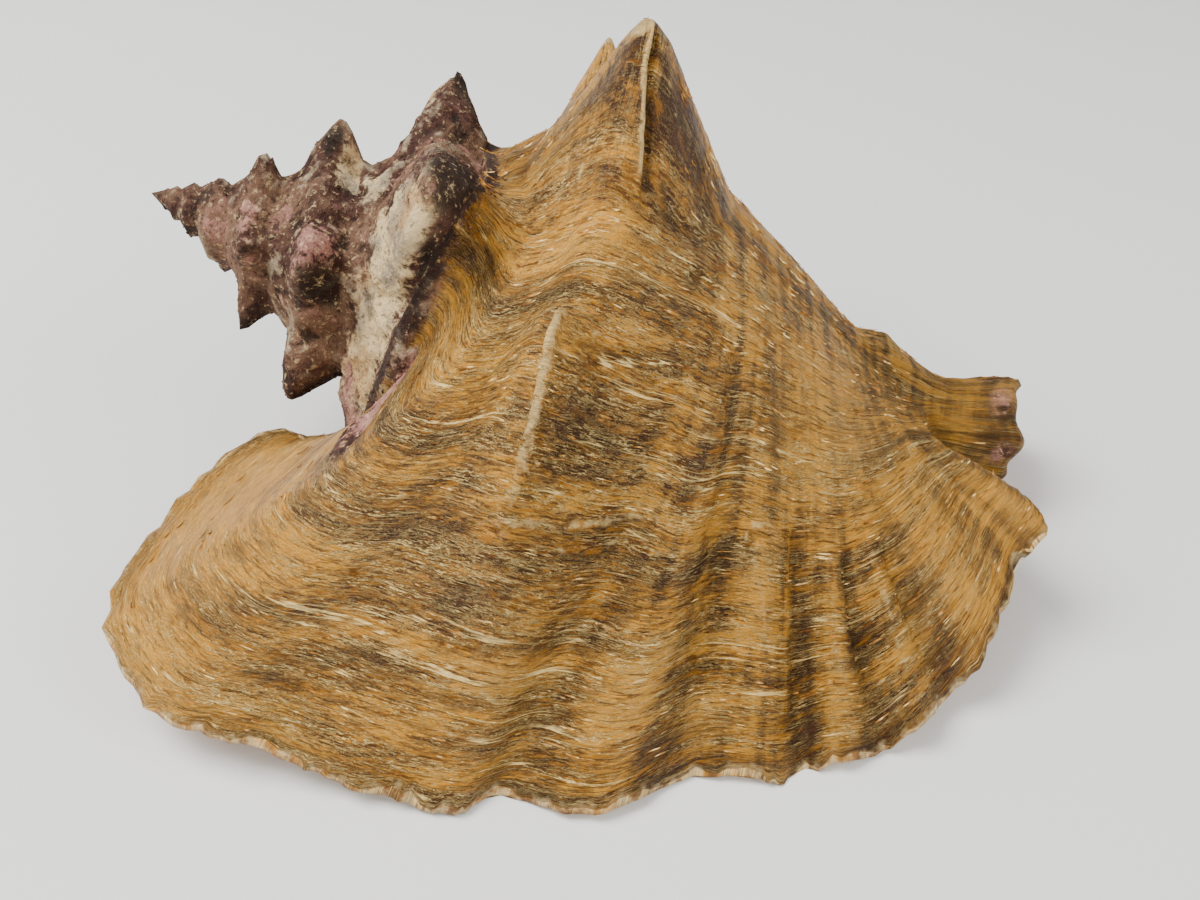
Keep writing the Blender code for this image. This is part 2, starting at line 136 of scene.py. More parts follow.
# The lip's free edge at rest: share of the section, then x, y and height above the table
LIP_EDGE = (
    (0.010, -0.0664, -0.0176, 0.0251),
    (0.035, -0.0760, -0.0108, 0.0261),
    (0.060, -0.0864, -0.0046, 0.0232),
    (0.085, -0.0990, -0.0106, 0.0180),
    (0.110, -0.1079, -0.0358, 0.0157),
    (0.135, -0.1112, -0.0623, 0.0156),
    (0.160, -0.1040, -0.0790, 0.0141),
    (0.185, -0.0939, -0.0893, 0.0115),
    (0.220, -0.0733, -0.0959, 0.0095),
    (0.250, -0.0566, -0.1014, 0.0063),
    (0.290, -0.0331, -0.1066, 0.0020),
    (0.340, -0.0196, -0.1035, 0.0026),
    (0.400, 0.0000, -0.1080, 0.0022),
    (0.450, 0.0209, -0.0989, 0.0039),
    (0.500, 0.0377, -0.0996, 0.0010),
    (0.545, 0.0450, -0.0948, 0.0013),
    (0.580, 0.0554, -0.0949, 0.0033),
    (0.620, 0.0664, -0.0886, 0.0054),
    (0.665, 0.0794, -0.0783, 0.0099),
    (0.710, 0.0900, -0.0644, 0.0149),
    (0.755, 0.0961, -0.0534, 0.0214),
    (0.800, 0.1030, -0.0472, 0.0275),
    (0.850, 0.0994, -0.0338, 0.0235),
)
LIP_TIP_SHARE = 0.93
# The lip leaves the whorl with a pull onward, more of it near the suture, and comes to its edge with
# a pull outwards and down. The rows that are held to the whorl, at the suture and at the canal,
# swing out later near the suture.
LEAVE = (1.25, 0.60)
ARRIVE = (0.81, 0.387)
GUIDE = (2.2, 3.4)
NEAR_SUTURE = (0.06, 0.24)
HELD_AT_SUTURE = (0.0, 0.15)
HELD_AT_CANAL = (0.84, 0.94)
CANAL_ANGLE = 208.0

# The keel on the lip: turn angle and height, then where its crest runs and how far it spreads
KEEL_HEIGHTS = ((147.0, 0.0), (155.0, 0.0125), (172.0, 0.0095), (195.0, 0.0050), (240.0, 0.0015))
KEEL_CREST = ((146.0, 0.231), (200.0, 0.271), (240.0, 0.296))
KEEL_SPREAD = (0.050, 0.036)
KEEL_CURVE = 1.2
# Ribs (up) and grooves (down) of the lip: share of the section and height at the free edge
FLUTES = (
    (0.300, 0.0), (0.345, -0.0010), (0.400, 0.0014), (0.450, -0.0020), (0.488, 0.0030), (0.530, -0.0024),
    (0.568, 0.0022), (0.598, -0.0022), (0.625, 0.0020), (0.650, -0.0020), (0.690, 0.0014), (0.740, 0.0),
)
FLUTE_START = 150.0
# A dent in the canal's near side: depth, then its turn angle and share of the section, and how far
# it reaches in each
CANAL_DENT = 0.0030
DENT_AT = (172.0, 0.91)
DENT_REACH = (40.0, 0.10)

# Thickness of the wall at turn angles, down to the lip's thin edge
WALL_AT_SUTURE = 0.0015
CANAL_THINNING = 0.60
FULL_WALL = (0.0, 0.16)
THIN_WALL = (0.68, 0.88)
WALL = ((FLARE_ANGLE, 0.0040), (165.0, 0.0070), (205.0, 0.0070), (230.0, 0.0034), (MOUTH_ANGLE, 0.0022))
RIM_ROUND = 0.35
SUTURE_STEP = 0.03
TUCK_TURN = 40.0
SUTURE_FADE = 0.10
# The inside runs straight from the suture to this place on its row
STRAIGHT_TO = 0.075
OUTER_GAP = 0.0035
INNER_GAP = 0.0010
# How much of the whorl below is looked at when the lip is kept clear of it, and at how many places
BELOW_REACH = 0.7
BELOW_SAMPLES = 60

# How finely the skin is cut: widest steps between rows where it shows and where it doesn't
SEEN_STEP = 0.95
HIDDEN_STEP = 3.5
SEEN_FROM = 24.0
SEEN_COLUMNS = 210
SPIRE_COLUMNS = 30
# The share of SEEN_COLUMNS that lie between the suture and the lip's cover
COVER_COLUMNS = 0.16
# How much closer the columns lie round the spines and the keel, at which share, and how far to
# each side
CROWDING = 1.3
CROWDED_AT = 0.262
CROWDED_REACH = 0.050
INSIDE_STEP = 2.6
INSIDE_COLUMNS = 84
# A row has SPIRE_COLUMNS at the turn angle this much before SIZE_ANGLE, and never fewer than
# LEAST_COLUMNS
SPIRE_COLUMNS_LAG = 260.0
LEAST_COLUMNS = 5

# Growth map: centimetres of growth for each degree at SIZE_ANGLE, and how far on the inside starts
MAP_SPEED = 0.105
MAP_INSIDE = 60.0

# Seams and grooves (down), raised growth lines and low ribs (up): places as (turn angle, share), half
# width, height
SEAMS = (
    (((104.5, 0.2515), (110.0, 0.2510), (116.0, 0.2640), (123.0, 0.2740), (129.0, 0.2800)), 0.0012, -0.0022),
    (((104.0, 0.2440), (110.0, 0.2430), (116.0, 0.2565), (122.0, 0.2665), (127.0, 0.2710)), 0.0012, 0.0012),
    (((186.0, 0.250), (182.0, 0.310), (177.5, 0.406)), 0.0009, 0.0010),
    (((150.5, 0.200), (151.5, 0.260), (148.0, 0.330)), 0.0014, 0.0008),
    (((149.0, 0.2335), (160.0, 0.2425), (175.0, 0.2545), (192.0, 0.2650)), 0.0009, 0.0012),
    (((148.0, 0.2270), (160.0, 0.2355), (175.0, 0.2475), (192.0, 0.2580)), 0.0012, -0.0012),
    (((186.0, 0.456), (181.0, 0.464), (179.5, 0.480), (182.5, 0.505)), 0.0010, 0.0016),
    (((187.5, 0.460), (183.0, 0.467), (181.5, 0.480), (184.5, 0.502)), 0.0009, -0.0012),
    (((133.0, 0.326), (132.0, 0.347), (132.0, 0.372)), 0.0009, -0.0016),
    (((182.5, 0.462), (196.0, 0.481), (219.5, 0.490), (239.0, 0.495)), 0.0035, 0.0009),
    (((185.5, 0.557), (238.0, 0.573)), 0.0030, 0.0010),
    (((186.0, 0.588), (232.0, 0.598)), 0.0022, -0.0021),
    (((184.5, 0.638), (205.0, 0.645), (231.0, 0.652)), 0.0020, -0.0021),
    (((176.0, 0.430), (205.0, 0.446), (236.0, 0.450)), 0.0032, -0.0021),
    (((178.0, 0.520), (205.0, 0.527), (236.0, 0.532)), 0.0026, -0.0018),
    (((140.0, 0.410), (165.0, 0.425), (180.0, 0.440)), 0.0022, -0.0007),
    (((140.0, 0.470), (165.0, 0.480), (182.0, 0.490)), 0.0026, 0.0007),
    (((140.0, 0.530), (165.0, 0.545), (186.0, 0.557)), 0.0026, 0.0007),
)
# Worn cream lines: places, half width, and how strongly they show
CREAM_LINES = (
    (((104.0, 0.2440), (110.0, 0.2430), (116.0, 0.2565), (122.0, 0.2665), (127.0, 0.2710)), 0.0013, 1.0),
    (((186.0, 0.250), (182.0, 0.310), (177.5, 0.406)), 0.0009, 0.8),
    (((189.0, 0.262), (186.0, 0.330), (182.0, 0.400)), 0.0006, 0.6),
    (((186.0, 0.456), (181.0, 0.464), (179.5, 0.480), (182.5, 0.505)), 0.0010, 0.8),
    (((186.0, 0.466), (200.0, 0.482), (226.0, 0.491)), 0.0014, 0.5),
    (((186.0, 0.565), (234.0, 0.573)), 0.0016, 0.45),
    (((188.0, 0.618), (234.0, 0.628)), 0.0014, 0.55),
    (((121.0, 0.178), (123.0, 0.182)), 0.0013, 1.0),
    (((150.5, 0.200), (151.5, 0.260), (148.0, 0.330)), 0.0007, 0.6),
    (((226.0, 0.270), (225.0, 0.360), (226.0, 0.440)), 0.0006, 0.7),
)
# Half widths are measured as if every row were this long and every degree this wide
SEAM_ROW_LENGTH = 0.30
SEAM_DEGREE = 0.00105
# How fast a line rises at its start, the strength it starts with, and how fast it fades at its end
LINE_FADE = (9.0, 0.3, 2.6)

# How far the lip's broken edge wanders, over how many degrees, and how far apart its chips are
CHIP_DEPTH = 0.0022
CHIP_REACH = 6.0
CHIP_STEP = 0.0042
# Shares of that depth in broad chips, in fine ones and in sag, and where chips fade at both ends
BROAD_CHIPS = 0.65
FINE_CHIPS = 0.5
CHIP_SAG = 0.45
CHIPS_FADE = (0.02, 0.05)
CHIP_SEED = 11

# The fold beside the longest rib is worn round: its share, how far to each side, and over how many
# columns
WORN_FOLD = 0.505
WORN_REACH = 0.045
WORN_COLUMNS = 15

# Relief starts at the first height above the table and is full at the second, where flakes start;
# it is also full this far from the suture
NEAR_TABLE = 0.0006
CLEAR_OF_TABLE = 0.005
RELIEF_FROM_SUTURE = 0.006
# Relief at the apex, and how fast it grows on the spire
APEX_RELIEF = 0.3
SPIRE_RELIEF = 1.6

# Masks that the materials and the relief read: how much of each finish a corner has
# The dark mask is partly painted shade; the flute mask is painted light on the ribs and painted shade in the
# grooves
MASKS = ("skin", "inside", "rim", "suture", "crest", "relief", "row_place", "turn_place",
         "dark", "gold", "smooth", "pale", "pink", "black", "flute", "fibre")

# Marks of those masks: turn angle, share, reach in each, and strength
MARKS = {
    # The dark marks are dark patches of the skin, and the one at 163 degrees is painted shade on the keel's
    # right flank
    "dark": (
        (112.0, 0.300, 8.0, 0.045, 1.0), (109.0, 0.210, 7.0, 0.030, 0.5), (120.0, 0.330, 6.0, 0.040, 0.6),
        (163.0, 0.263, 13.0, 0.014, 0.9), (167.0, 0.377, 5.0, 0.018, 0.7),
        (163.0, 0.435, 4.0, 0.018, 0.7), (175.0, 0.381, 4.0, 0.015, 0.6), (200.0, 0.255, 5.0, 0.030, 0.7),
        (226.0, 0.190, 7.0, 0.030, 0.25), (229.0, 0.418, 5.0, 0.020, 0.9), (231.0, 0.544, 6.0, 0.016, 1.0),
        (231.0, 0.611, 6.0, 0.018, 0.9), (229.0, 0.657, 7.0, 0.016, 0.9), (150.0, 0.985, 26.0, 0.018, 0.8),
        (113.0, 0.950, 10.0, 0.020, 0.3), (134.0, 0.345, 2.5, 0.030, 0.9), (208.0, 0.700, 10.0, 0.030, 0.5),
        (186.0, 0.350, 6.0, 0.080, 0.45), (206.0, 0.340, 8.0, 0.070, 0.4), (214.0, 0.235, 6.0, 0.030, 0.5),
        (207.0, 0.270, 7.0, 0.025, 0.5),
    ),
    "gold": (
        (190.0, 0.479, 10.0, 0.013, 1.0), (214.0, 0.389, 8.0, 0.025, 0.6), (226.0, 0.450, 5.0, 0.020, 0.6),
        (222.0, 0.577, 8.0, 0.018, 0.8), (216.0, 0.785, 26.0, 0.018, 1.0), (135.0, 0.200, 6.0, 0.080, 0.7),
        (214.0, 0.300, 12.0, 0.030, 0.4), (215.0, 0.645, 12.0, 0.012, 0.7), (130.0, 0.450, 5.0, 0.060, 0.5),
        (150.0, 0.600, 22.0, 0.110, 0.8), (205.0, 0.860, 40.0, 0.060, 0.7), (190.0, 0.700, 30.0, 0.050, 0.5),
        (222.0, 0.110, 24.0, 0.050, 1.0), (236.0, 0.150, 8.0, 0.060, 0.9), (120.0, 0.930, 60.0, 0.040, 0.5),
        (160.0, 0.520, 12.0, 0.060, 0.6),
    ),
    "smooth": (
        (104.0, 0.240, 16.0, 0.140, 1.0), (215.0, 0.110, 30.0, 0.055, 0.8), (120.0, 0.950, 60.0, 0.080, 0.8),
        (150.0, 0.040, 30.0, 0.050, 0.8), (215.0, 0.780, 22.0, 0.050, 0.7), (44.0, 0.250, 14.0, 0.120, 1.0),
    ),
    "fibre": (
        (104.0, 0.250, 14.0, 0.110, 1.0), (44.0, 0.250, 13.0, 0.110, 1.0), (-10.0, 0.250, 14.0, 0.110, 1.0),
    ),
    "crust": (
        (166.0, 0.000, 22.0, 0.045, 1.0), (182.0, 0.060, 9.0, 0.060, 1.0), (184.0, 0.115, 6.0, 0.025, 1.0),
        (118.0, 0.985, 34.0, 0.030, 0.58), (170.0, 0.990, 20.0, 0.022, 0.70),
    ),
    "pale": (
        (-206.0, 0.170, 24.0, 0.085, 1.0), (-186.0, 0.150, 24.0, 0.085, 1.0),
        (-162.0, 0.110, 22.0, 0.070, 1.0), (-618.0, 0.315, 16.0, 0.040, 1.0),
        (-248.0, 0.070, 14.0, 0.050, 0.9), (-214.0, 0.225, 9.0, 0.050, 0.9),
        (-300.0, 0.200, 12.0, 0.060, 0.5), (-140.0, 0.050, 18.0, 0.040, 0.5),
    ),
    "pink": (
        (-566.0, 0.271, 10.0, 0.055, 1.0), (-554.0, 0.200, 10.0, 0.050, 0.6),
        (-144.0, 0.075, 16.0, 0.045, 1.0), (182.0, 0.080, 7.0, 0.050, 0.9),
        (112.0, 0.985, 22.0, 0.035, 0.9), (122.0, 0.950, 44.0, 0.045, 0.4),
        (-930.0, 0.220, 20.0, 0.080, 0.7), (-520.0, 0.100, 14.0, 0.050, 0.6),
        (-660.0, 0.230, 10.0, 0.060, 0.5),
    ),
    "black": (
        (-544.0, 0.296, 13.0, 0.050, 1.0), (-488.0, 0.296, 11.0, 0.050, 0.9),
        (-838.0, 0.271, 12.0, 0.060, 1.0), (-624.0, 0.240, 9.0, 0.040, 0.9),
        (-228.0, 0.300, 12.0, 0.060, 1.0), (-208.0, 0.275, 9.0, 0.018, 0.9),
        (-1000.0, 0.290, 22.0, 0.060, 0.6), (-428.0, 0.300, 12.0, 0.050, 0.8),
        (-126.0, 0.110, 9.0, 0.050, 1.0), (-1150.0, 0.290, 22.0, 0.060, 0.5),
        (-300.0, 0.270, 10.0, 0.040, 0.8),
    ),
}
# The flutes' height at which ribs get their full painted light and grooves their full painted shade, and the
# width of the crust along the suture
FLUTE_HEIGHT = 0.0025
SUTURE_CRUST = 0.009
# Widths of the lip's bare edge and of the paler glaze inside it, and the turn angle they start at
BARE_EDGE = 0.0030
PALE_GLAZE = 0.02
EDGE_FROM = 190.0
# The keel's worn crest: its half width, and how strongly it shows at turn angles
CREST_WIDTH = 0.0010
CREST_FADE = ((146.0, 0.0), (153.0, 1.0), (168.0, 0.75), (186.0, 0.35), (204.0, 0.0), (MOUTH_ANGLE, 0.0))
# The spines with white tips, how far the white reaches, and how full it is at the tip
WHITE_TIPS = (104.0, 44.0, -10.0)
TIP_REACH = 0.0026
TIP_STRENGTH = 1.5
# The masks that take marks on the last whorl, and those that take them on the spire
WHORL_MARKS = ("dark", "gold", "smooth", "fibre", "pale", "pink", "black")
SPIRE_MARKS = ("pale", "pink", "black")

# Colours of the skin and of the crust, as they look on a screen, from 0 to 255
SKIN_COLOURS = {
    "Dark": (58, 30, 8),
    "Ochre": (120, 76, 18),
    "Golden": (212, 146, 40),
    "Cream": (252, 216, 138),
    "Grey": (84, 52, 36),
    "Orange": (196, 126, 14),
    "Gold": (222, 160, 66),
}
CRUST_COLOURS = {
    "Maroon": (74, 44, 34),
    "Tan": (122, 90, 68),
    "Dark": (34, 22, 16),
    "Pink": (196, 138, 124),
    "Cream": (232, 202, 150),
    "Grey": (170, 152, 124),
    "Stain": (190, 144, 88),
}
# Painted shade in the suture's crease, the worn keel, the lip's broken edge, the mouth's glaze from deep to
# pale and at its edge, and loose skin from dark to pale
SUTURE_SHADE = (44, 32, 27)
CREST_CREAM = (236, 200, 132)
EDGE_COLOURS = ((172, 118, 54), (240, 208, 150))
MOUTH_PINK = (226, 142, 122)
MOUTH_PEACH = (240, 178, 150)
MOUTH_EDGE = (242, 214, 176)
FLAKE_COLOURS = ((116, 70, 18), (184, 124, 48), (250, 216, 144))
# The floor's two tones, and the light from all round
FLOOR_COLOURS = ((226, 225, 222), (236, 235, 232))
WORLD_COLOUR = (236, 238, 240)
# The specular level of all materials, how deep the bump is, and the glazed mouth's roughness and coat
SPECULAR = 0.25
BUMP_DEPTH = 0.0011
GLAZE_ROUGHNESS = 0.22
GLAZE_COAT = 0.5

# What the groups of skin and crust put out
FINISH = (("Color", "NodeSocketColor"), ("Roughness", "NodeSocketFloat"), ("Height", "NodeSocketFloat"))

# Heights of the growth lines, of the broader steps and of the crust, how close the lines lie, and
# where in the noise they are taken
LINE_HEIGHT = 0.0003
STEP_HEIGHT = 0.0005
CRUST_HEIGHT = 0.0030
LINES_PER_CENTIMETRE = 5.0
RELIEF_SEED = 4.0

# Loose flakes and grains of crust: how many to a square metre, least and greatest length, width and
# height, how far each turns from the growth lines (radians), and the seed
FLAKE_DENSITY = 60000.0
FLAKE_LEAST = (0.0012, 0.00016, 0.00010)
FLAKE_GREATEST = (0.0050, 0.00042, 0.00034)
FLAKE_TURN = 0.07
FLAKE_SEED = 5
GRAIN_DENSITY = 90000.0
GRAIN_LEAST = (0.00035, 0.00035, 0.00025)
GRAIN_GREATEST = 0.0013
GRAIN_WIDTH = 0.85
GRAIN_HEIGHT = 0.6
GRAIN_TURN = 3.1
GRAIN_SEED = 8

# The main light's power, then each light's name, side, share of that power, and place
LIGHT_POWER = 31.0
LIGHTS = (
    ("main_light", 0.9, 1.0, (-0.75, 0.05, 1.15)),
    ("side_light", 0.9, 0.36, (1.1, -0.5, 0.8)),
    ("front_light", 1.1, 0.22, (-0.3, -1.2, 0.9)),
)
LIGHTS_AIM = (0.0, 0.0, 0.03)
WORLD_STRENGTH = 0.60
FLOOR_HALF = 4.0

# The camera and its lens, placed as the photograph was taken
CAMERA_AT = (0.0010, -0.26703, 0.21735)
CAMERA_WAY = (0.0, 0.80386, -0.59482)
CAMERA_LENS = 38.61


def spline(knots, points, at):
    """Points of a smooth curve through the given points, at other values of the knots."""
    knots = np.asarray(knots, float)
    points = np.asarray(points, float)
    step = np.diff(knots)[:, None]
    slope = np.diff(points, axis=0) / step
    tangent = np.empty_like(points)
    tangent[0] = slope[0]
    tangent[-1] = slope[-1]
    tangent[1:-1] = (slope[:-1] * step[1:] + slope[1:] * step[:-1]) / (step[:-1] + step[1:])
    at = np.clip(np.asarray(at, float), knots[0], knots[-1])
    i = np.clip(np.searchsorted(knots, at, side="right") - 1, 0, len(knots) - 2)
    h = step[i]
    t = (at - knots[i])[:, None] / h
    return hermite(t, points[i], h * tangent[i], points[i + 1], h * tangent[i + 1])


def hermite(t, start, leave, end, arrive):
    """A cubic from start to end with those tangents, at shares t of the way."""
    return ((2 * t**3 - 3 * t**2 + 1) * start + (t**3 - 2 * t**2 + t) * leave
            + (3 * t**2 - 2 * t**3) * end + (t**3 - t**2) * arrive)


def ease(x):
    """A smooth step from 0 to 1."""
    x = np.clip(x, 0.0, 1.0)
    return x * x * (3 - 2 * x)


def between(x, limits):
    """A smooth step from 0 at the first limit to 1 at the second."""
    return ease((x - limits[0]) / (limits[1] - limits[0]))


def unit(vectors):
    """The vectors at length 1."""
    return vectors / np.maximum(np.linalg.norm(vectors, axis=-1, keepdims=True), 1e-9)


def growth(angle):
    """Size of the whorl at a turn angle."""
    return WHORL_GROWTH ** ((angle - SIZE_ANGLE) / 360.0)


def section_points(angle, suture):
    """Points that a whorl's section goes through, as (along, out)."""
    size = growth(angle)
    if suture is None:
        suture = np.array(COVER) * size / WHORL_GROWTH
    shoulder = np.array(SHOULDER) * size
    bulge = np.array([0.0, SUTURE_BULGE * ease((COVERED_FULLY - cover_share(angle - 360.0)) / BULGE_FADE)])
    points = [suture, suture + (shoulder - suture) * RAMP[0] + bulge]
    points += [suture + (shoulder - suture) * RAMP[1] + bulge / 2, shoulder, np.array(COVER) * size]
    inner = 1 - between(angle, THINNING_TURNS)
    buried = 1 - between(angle, EARLY_TURNS)
    for along, out, along_follows, out_follows, columella in LOWER:
        free = out * (1 + (size - 1) * (out_follows + (1 - out_follows) * buried))
        kept = free * (1 - inner) + min(free, out * columella) * inner
        longer = 1 + (size - 1) * (along_follows + (1 - along_follows) * buried)
        points.append(np.array([along * longer, kept]))
    return np.array(points)


def cover_share(angle):
    """Where on a whorl the next one starts: the flaring lip climbs up the shoulder."""
    return COVER_SHARE + (LIP_COVER_SHARE - COVER_SHARE) * float(between(angle, COVER_TURNS))


def section(angle, shares):
    """A whorl's section, as (along, out) at shares of its length."""
    suture = None
    if angle > CLIMBS_FROM:
        below = section_points(angle - 360.0, None)
        suture = spline(PROFILE_SHARES, below, [cover_share(angle - 360.0)])[0]
    return spline(PROFILE_SHARES, section_points(angle, suture), shares)


def all_spines():
    """The spines of the last two whorls and of the spire."""
    spines = list(SPINES)
    for angle in SPIRE_SPINES:
        size = growth(angle)
        spines.append((angle, SPIRE_SPINE_HEIGHT * size, SPIRE_SPINE_REACH * size, 0.0))
    return spines


def mouth_knobs():
    """The knobs that the lip's wall is grown onto."""
    return [spine for spine in SPINES if MOUTH_ANGLE - 361.0 < spine[0] < MOUTH_ANGLE - 300.0]


def spine_lift(angle, along, out, spines):
    """How far the spines lift points of one section outwards."""
    lift = np.zeros_like(along)
    for turn, height, reach, shift in spines:
        size = growth(turn)
        radius = np.maximum(out, SPINE_ROOT * SHOULDER[1] * size) if shift <= 0 else out
        side = math.radians(angle - turn) * radius
        past = along - SHOULDER[0] * size - shift
        past = past / np.where(past < 0, *SPINE_FOOT)
        far = np.hypot(np.hypot(side, past) / reach, SPINE_TIP) - SPINE_TIP
        lift = np.maximum(lift, height * np.clip(1 - far, 0, 1) ** SPINE_CURVE)
    return lift


def whorl_row(angle, shares, spines=()):
    """One row of a whorl's outside, in the shell's own frame: along the axis, far side, up."""
    shares = np.asarray(shares, float)
    along, out = section(angle, shares).T
    below = section(angle - 360.0, [cover_share(angle - 360.0)]).T
    carried = spine_lift(angle - 360.0, *below, spines)[0]
    covered = carried * np.clip(1 - shares / SUTURE_FADE, 0, 1) ** 2
    out = out + np.maximum(spine_lift(angle, along, out, spines), covered)
    waves = sum(height * math.sin(count * math.radians(angle) + start) for count, start, height in RAGGED)
    along = along + waves * between(shares, (RAGGED_FROM, 1.0))
    bent = np.clip((along - RISE_ALONG[0]) / (RISE_ALONG[1] - RISE_ALONG[0]), 0, 1)
    rise = CANAL_RISE * bent**2 * between(angle, RISE_TURNS)
    turn = math.radians(angle)
    return np.stack([along, out * math.cos(turn), out * math.sin(turn) + rise], -1)


def rest_axes():
    """The shell's own axes at rest: along its axis, to the far side, and up."""
    drop, yaw, roll = (math.radians(angle) for angle in (AXIS_DROP, AXIS_YAW, AXIS_ROLL))
    along = np.array([math.cos(drop) * math.cos(yaw), math.cos(drop) * math.sin(yaw), -math.sin(drop)])
    level = np.array([-math.sin(yaw), math.cos(yaw), 0.0])
    far = math.cos(roll) * level + math.sin(roll) * np.cross(along, level)
    return np.array([along, far, np.cross(along, far)])


AXES = rest_axes()


def at_rest(points):
    """Points of the shell's own frame, where the resting shell has them."""
    corners = np.asarray(points) @ AXES + np.array(APEX_AT)
    corners[:, :2] -= STAND_CENTRE
    corners[:, 2] = np.maximum(corners[:, 2], 0.0)
    return corners


def lip_edge(shares):
    """The lip's free edge, from where it meets the spire to the canal's end."""
    start = whorl_row(MOUTH_ANGLE, [0.0], all_spines())[0]
    tip = whorl_row(CANAL_ANGLE, [LIP_TIP_SHARE, 1.0])
    free = [AXES @ (np.array(place[1:]) - np.array(APEX_AT)) for place in LIP_EDGE]
    knots = [0.0] + [place[0] for place in LIP_EDGE] + [LIP_TIP_SHARE, 1.0]
    return spline(knots, [start] + free + list(tip), shares)


def lip_rows(angles, shares):
    """Smooth rows of the flaring lip, from FLARE_ANGLE to its free edge."""
    shares = np.asarray(shares, float)
    t = ((np.asarray(angles) - FLARE_ANGLE) / (MOUTH_ANGLE - FLARE_ANGLE))[:, None, None]
    start = whorl_row(FLARE_ANGLE, shares)
    mouth = whorl_row(MOUTH_ANGLE, shares)
    edge = lip_edge(shares) - (whorl_row(MOUTH_ANGLE, shares, all_spines()) - mouth)
    reach = np.linalg.norm(edge - start, axis=1, keepdims=True)
    down = AXES @ np.array([0.0, 0.0, -1.0])
    chord = unit(edge - start)
    flat = unit(chord - (chord @ down)[:, None] * down)
    near = (1 - between(shares, NEAR_SUTURE))[:, None]
    leave = unit(start - whorl_row(FLARE_ANGLE - 2.0, shares)) * reach * (LEAVE[0] + LEAVE[1] * near)
    arrive = (flat * ARRIVE[0] + down * ARRIVE[1]) * reach
    flared = hermite(t, start, leave, edge, arrive)
    wound = np.array([whorl_row(angle, shares) for angle in angles])
    guided = wound + (edge - mouth) * t ** (GUIDE[0] + GUIDE[1] * near)
    held = np.maximum(1 - between(shares, HELD_AT_SUTURE), between(shares, HELD_AT_CANAL))[None, :, None]
    return flared * (1 - held) + guided * held


def smooth_rows(angles, shares):
    """Rows of the last whorl and lip, without their spines and relief."""
    rows = [whorl_row(angle, shares) for angle in angles if angle <= FLARE_ANGLE]
    flaring = [angle for angle in angles if angle > FLARE_ANGLE]
    if flaring:
        rows += list(lip_rows(flaring, shares))
    return np.array(rows)


def outward(rows):
    """Directions square to a grid of rows, away from the shell's axis."""
    across = np.gradient(rows, axis=1)
    onward = np.gradient(rows, axis=0)
    return unit(np.cross(onward, across))


def keel_and_flutes(angle, shares):
    """Heights of the keel and of the flutes on one row of the lip."""
    keel_turns, keel_heights = zip(*KEEL_HEIGHTS)
    crest_turns, crest_places = zip(*KEEL_CREST)
    off = shares - np.interp(angle, crest_turns, crest_places)
    spread = np.where(off < 0, KEEL_SPREAD[0], KEEL_SPREAD[1])
    keel = np.interp(angle, keel_turns, keel_heights) * np.clip(1 - np.abs(off) / spread, 0, 1) ** KEEL_CURVE
    places, heights = zip(*FLUTES)
    strength = between(angle, (FLUTE_START, MOUTH_ANGLE))
    wave = spline(places, np.array(heights)[:, None], shares)[:, 0]
    far = np.hypot((angle - DENT_AT[0]) / DENT_REACH[0], (shares - DENT_AT[1]) / DENT_REACH[1])
    return keel, wave * strength - CANAL_DENT * ease(1 - far)


def lip_walls(angles, shares):
    """Rows of the outside and of the inside of the last whorl and lip."""
    shares = np.asarray(shares, float)
    smooth = smooth_rows(angles, shares)
    normal = outward(smooth)
    outer = np.empty_like(smooth)
    inner = np.empty_like(smooth)
    for i, angle in enumerate(angles):
        keel, flutes = keel_and_flutes(angle, shares)
        spines = whorl_row(angle, shares, all_spines()) - whorl_row(angle, shares)
        thick = np.interp(angle, *zip(*WALL)) - WALL_AT_SUTURE
        thick = thick * between(shares, FULL_WALL) * (1 - CANAL_THINNING * between(shares, THIN_WALL))
        thick = thick + WALL_AT_SUTURE
        outer[i] = smooth[i] + normal[i] * (keel + flutes)[:, None] + spines
        inner[i] = smooth[i] + normal[i] * (flutes - thick)[:, None]
    return outer, inner


def clear_of_spire(row, angle, gap):
    """A row of the lip's wall, moved out where it would come nearer to the whorl below."""
    along, out = section(angle - 360.0, np.linspace(0.0, BELOW_REACH, BELOW_SAMPLES)).T
    below = out + spine_lift(angle - 360.0, along, out, mouth_knobs())
    radius = np.hypot(row[:, 1], row[:, 2])
    wanted = np.interp(row[:, 0], along, below) + gap
    near = (row[:, 0] < along[-1]) & (radius < wanted)
    scale = np.where(near, wanted / radius, 1.0)[:, None]
    return row * np.concatenate([np.ones_like(scale), scale, scale], axis=1)


def settled(places):
    """A list of turn angles or shares without the ones that nearly repeat."""
    kept = [places[0]]
    for place in places[1:]:
        if place - kept[-1] > 1e-6:
            kept.append(place)
    return kept


def turn_steps():
    """Turn angles of the rows of the last whorl, fine where it shows."""
    stops = [MOUTH_ANGLE - 360.0, SEEN_FROM, POCKET_ANGLE, FLARE_ANGLE, MOUTH_ANGLE]
    angles = [stops[0]]
    for start, end in zip(stops, stops[1:]):
        widest = HIDDEN_STEP if end <= SEEN_FROM else SEEN_STEP
        count = math.ceil((end - start) / widest - 1e-6)
        angles += [start + (end - start) * (k + 1) / count for k in range(count)]
    return settled(angles)


def crowded(low, high, count):
    """Shares of the section from low to high, closer together round the spines and the keel."""
    even = np.linspace(low, high, 2001)
    weight = 1 + CROWDING * np.exp(-((even - CROWDED_AT) / CROWDED_REACH) ** 2)
    passed = np.concatenate([[0.0], np.cumsum(weight[1:] + weight[:-1])])
    return np.interp(np.linspace(0, passed[-1], count), passed, even)


